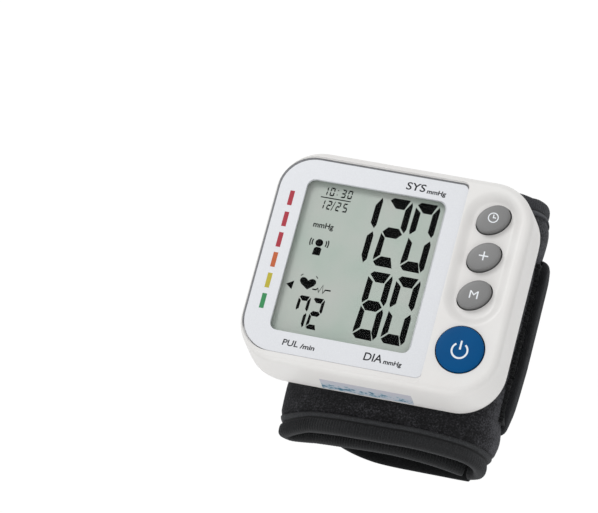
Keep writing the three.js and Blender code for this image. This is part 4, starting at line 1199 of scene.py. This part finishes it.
def strapLine():
    strap = curveThrough(sectionLine(strapShares), 1500)
    points, side, _ = evenly(bandDense, 200, *cuffForm["tailShares"])
    tail = points + side * strapForm["tailLift"]
    knots = np.concatenate([evenly(strap, 26)[0][:-1], tail[7::12]])
    return curveThrough(knots.tolist(), 3000)


def makeStrap():
    form = strapForm
    line = evenly(strapLine(), form["rows"])
    points, _, run = line
    side, wide, tailY = cuffForm["shiftY"], cuffForm["width"] / 2, cuffForm["tailY"]
    shift = np.maximum.accumulate(smoothStep(points[:, 0], *form["narrowX"]))
    slack = form["slack"][0] + form["slack"][1] * bell(points[:, 0], *form["slackX"])
    low = (side - wide + slack) * (1 - shift) + tailY[0] * shift
    high = (side + wide) * (1 - shift) + tailY[1] * shift
    tip = form["tip"] * (1 - roundOff(run[-1] - run, form["tip"]))
    low, high = low + tip, high - tip
    share = np.concatenate([form["rimShares"], np.linspace(0.045, 0.955, 40), form["farShares"]])
    across = low[:, None] + (high - low)[:, None] * share[None, :]
    edge = np.minimum(across - low[:, None], high[:, None] - across)
    rim = form["rimHalf"] + (1 - form["rimHalf"]) * roundOff(edge, form["rimOver"])
    ends = form["endHalf"] + (1 - form["endHalf"]) * roundEnds(run, form["endOver"])
    half = form["half"] * rim * ends[:, None]
    soft = wobble(run[:, None], across, form["softSize"], 5.2) * form["soft"]
    lean = sum(most * ramp(hand * across, start, over) ** power
               for most, hand, start, over, power in form["leans"])
    lean = shift[:, None] * lean
    strap = loft("closingStrap", line, twoFaces(
        across, half + np.minimum(soft, 0) - lean, -half + soft - lean))
    strap.data.materials.append(strapVelour)
    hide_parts("strap_base", "strap_tail")
    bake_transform(strap)


# Hook tape on the tail's inner face, with a ragged fringe beyond it
hookForm = {"rows": 150, "columns": 260, "start": 0.02, "beyond": 0.008, "inset": (1, 2.8),
            "top": 2.95, "bottom": 1.2, "fringeDrop": 1.6, "fringeStart": 0.75,
            "fringeOver": (-0.1, 0.25), "fringe": [(0.9, 0.0, 0.7, 8.1), (0.5, 3.0, 2.4, 1.2)]}


def makeHooks():
    form = hookForm
    line = evenly(bandDense, form["rows"], form["start"], cuffForm["tailShares"][1] + form["beyond"])
    y0, y1 = cuffForm["tailY"][0] + form["inset"][0], cuffForm["tailY"][1] - form["inset"][1]
    across = np.linspace(y0, y1, form["columns"])
    fringe = sum(most * wobble(across, along, size, seed) for most, along, size, seed in form["fringe"])
    past = line[2][:, None] - line[2][-1] + form["fringeStart"] - fringe[None, :]
    height = form["top"] - form["fringeDrop"] * smoothStep(past, *form["fringeOver"])
    hooks = loft("hookTape", line, twoFaces(across, height, form["bottom"]))
    dress(hooks, hookNylon, "tail", "hook_tape", "hook_tape")


makeBand()
makeBinding("frontBinding", "front_binding", bindingTape, cuffForm["shiftY"] - cuffForm["width"] / 2, 1)
makeBinding("rearBinding", "rear_binding", rearTape, cuffForm["shiftY"] + cuffForm["width"] / 2, -1)
makeStrap()
makeHooks()
print("cuff done")

stickerForm = {"topZone": 1, "lower": 0.7}  # its top edge lies lower than in the solids


def makeSticker():
    sticker = copyOf(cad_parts["side_label"], "sideSticker")
    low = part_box("side_label")[1].z - stickerForm["topZone"] * mm
    moveVerts(sticker, lambda vert: vert.co.z > low, z=-stickerForm["lower"])
    shadeSoft(sticker)
    dress(sticker, foilSticker("printedFoilSticker"), "monitor", "label_film", "side_label")


makeSticker()
print("sticker done")

# The pieces that stay as they came get their own finishes
nodeLooks = {"window_pane": paneClear, "lcd_glass": cellGreen,
             "main_board": solderMask("solderMaskGreen")}
slotLooks = {
    "dark_plastic": mouldedAbs("mouldedBlackAbs", "#1f2021", "#18191a", 0.5),
    "plated_metal": drawnMetal("nickelPlate", "#c9c8c4", 0.28),
    "contact_rubber": rubbery("contactRubber", "#4a4b4d", "#3a3b3d"),
    "circuit_board": nodeLooks["main_board"],
    "cell_jacket": rubbery("cellJacket", "#2c4f7a", "#25456c", 0.35),
    "air_plastic": mouldedAbs("mouldedPaleAbs", "#dcdcd8", "#d4d4d0", 0.45),
    "air_hose": rubbery("siliconeTube", "#d9dbd8", "#cfd1ce"),
    "spring_sheet": drawnMetal("springSteel", "#b9b9b6", 0.32),
    "bladder_film": rubbery("bladderFilm", "#6d7074", "#606367", 0.5)}
for name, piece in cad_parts.items():
    look = nodeLooks.get(name)
    if look is None:
        old = piece.data.materials[0].name if piece.data.materials else ""
        look = next((slotLooks[slot] for slot in slotLooks if slot in old), slotLooks["dark_plastic"])
    piece.data.materials.clear()
    piece.data.materials.append(look)
print("finishes done")

bpy.context.view_layer.update()
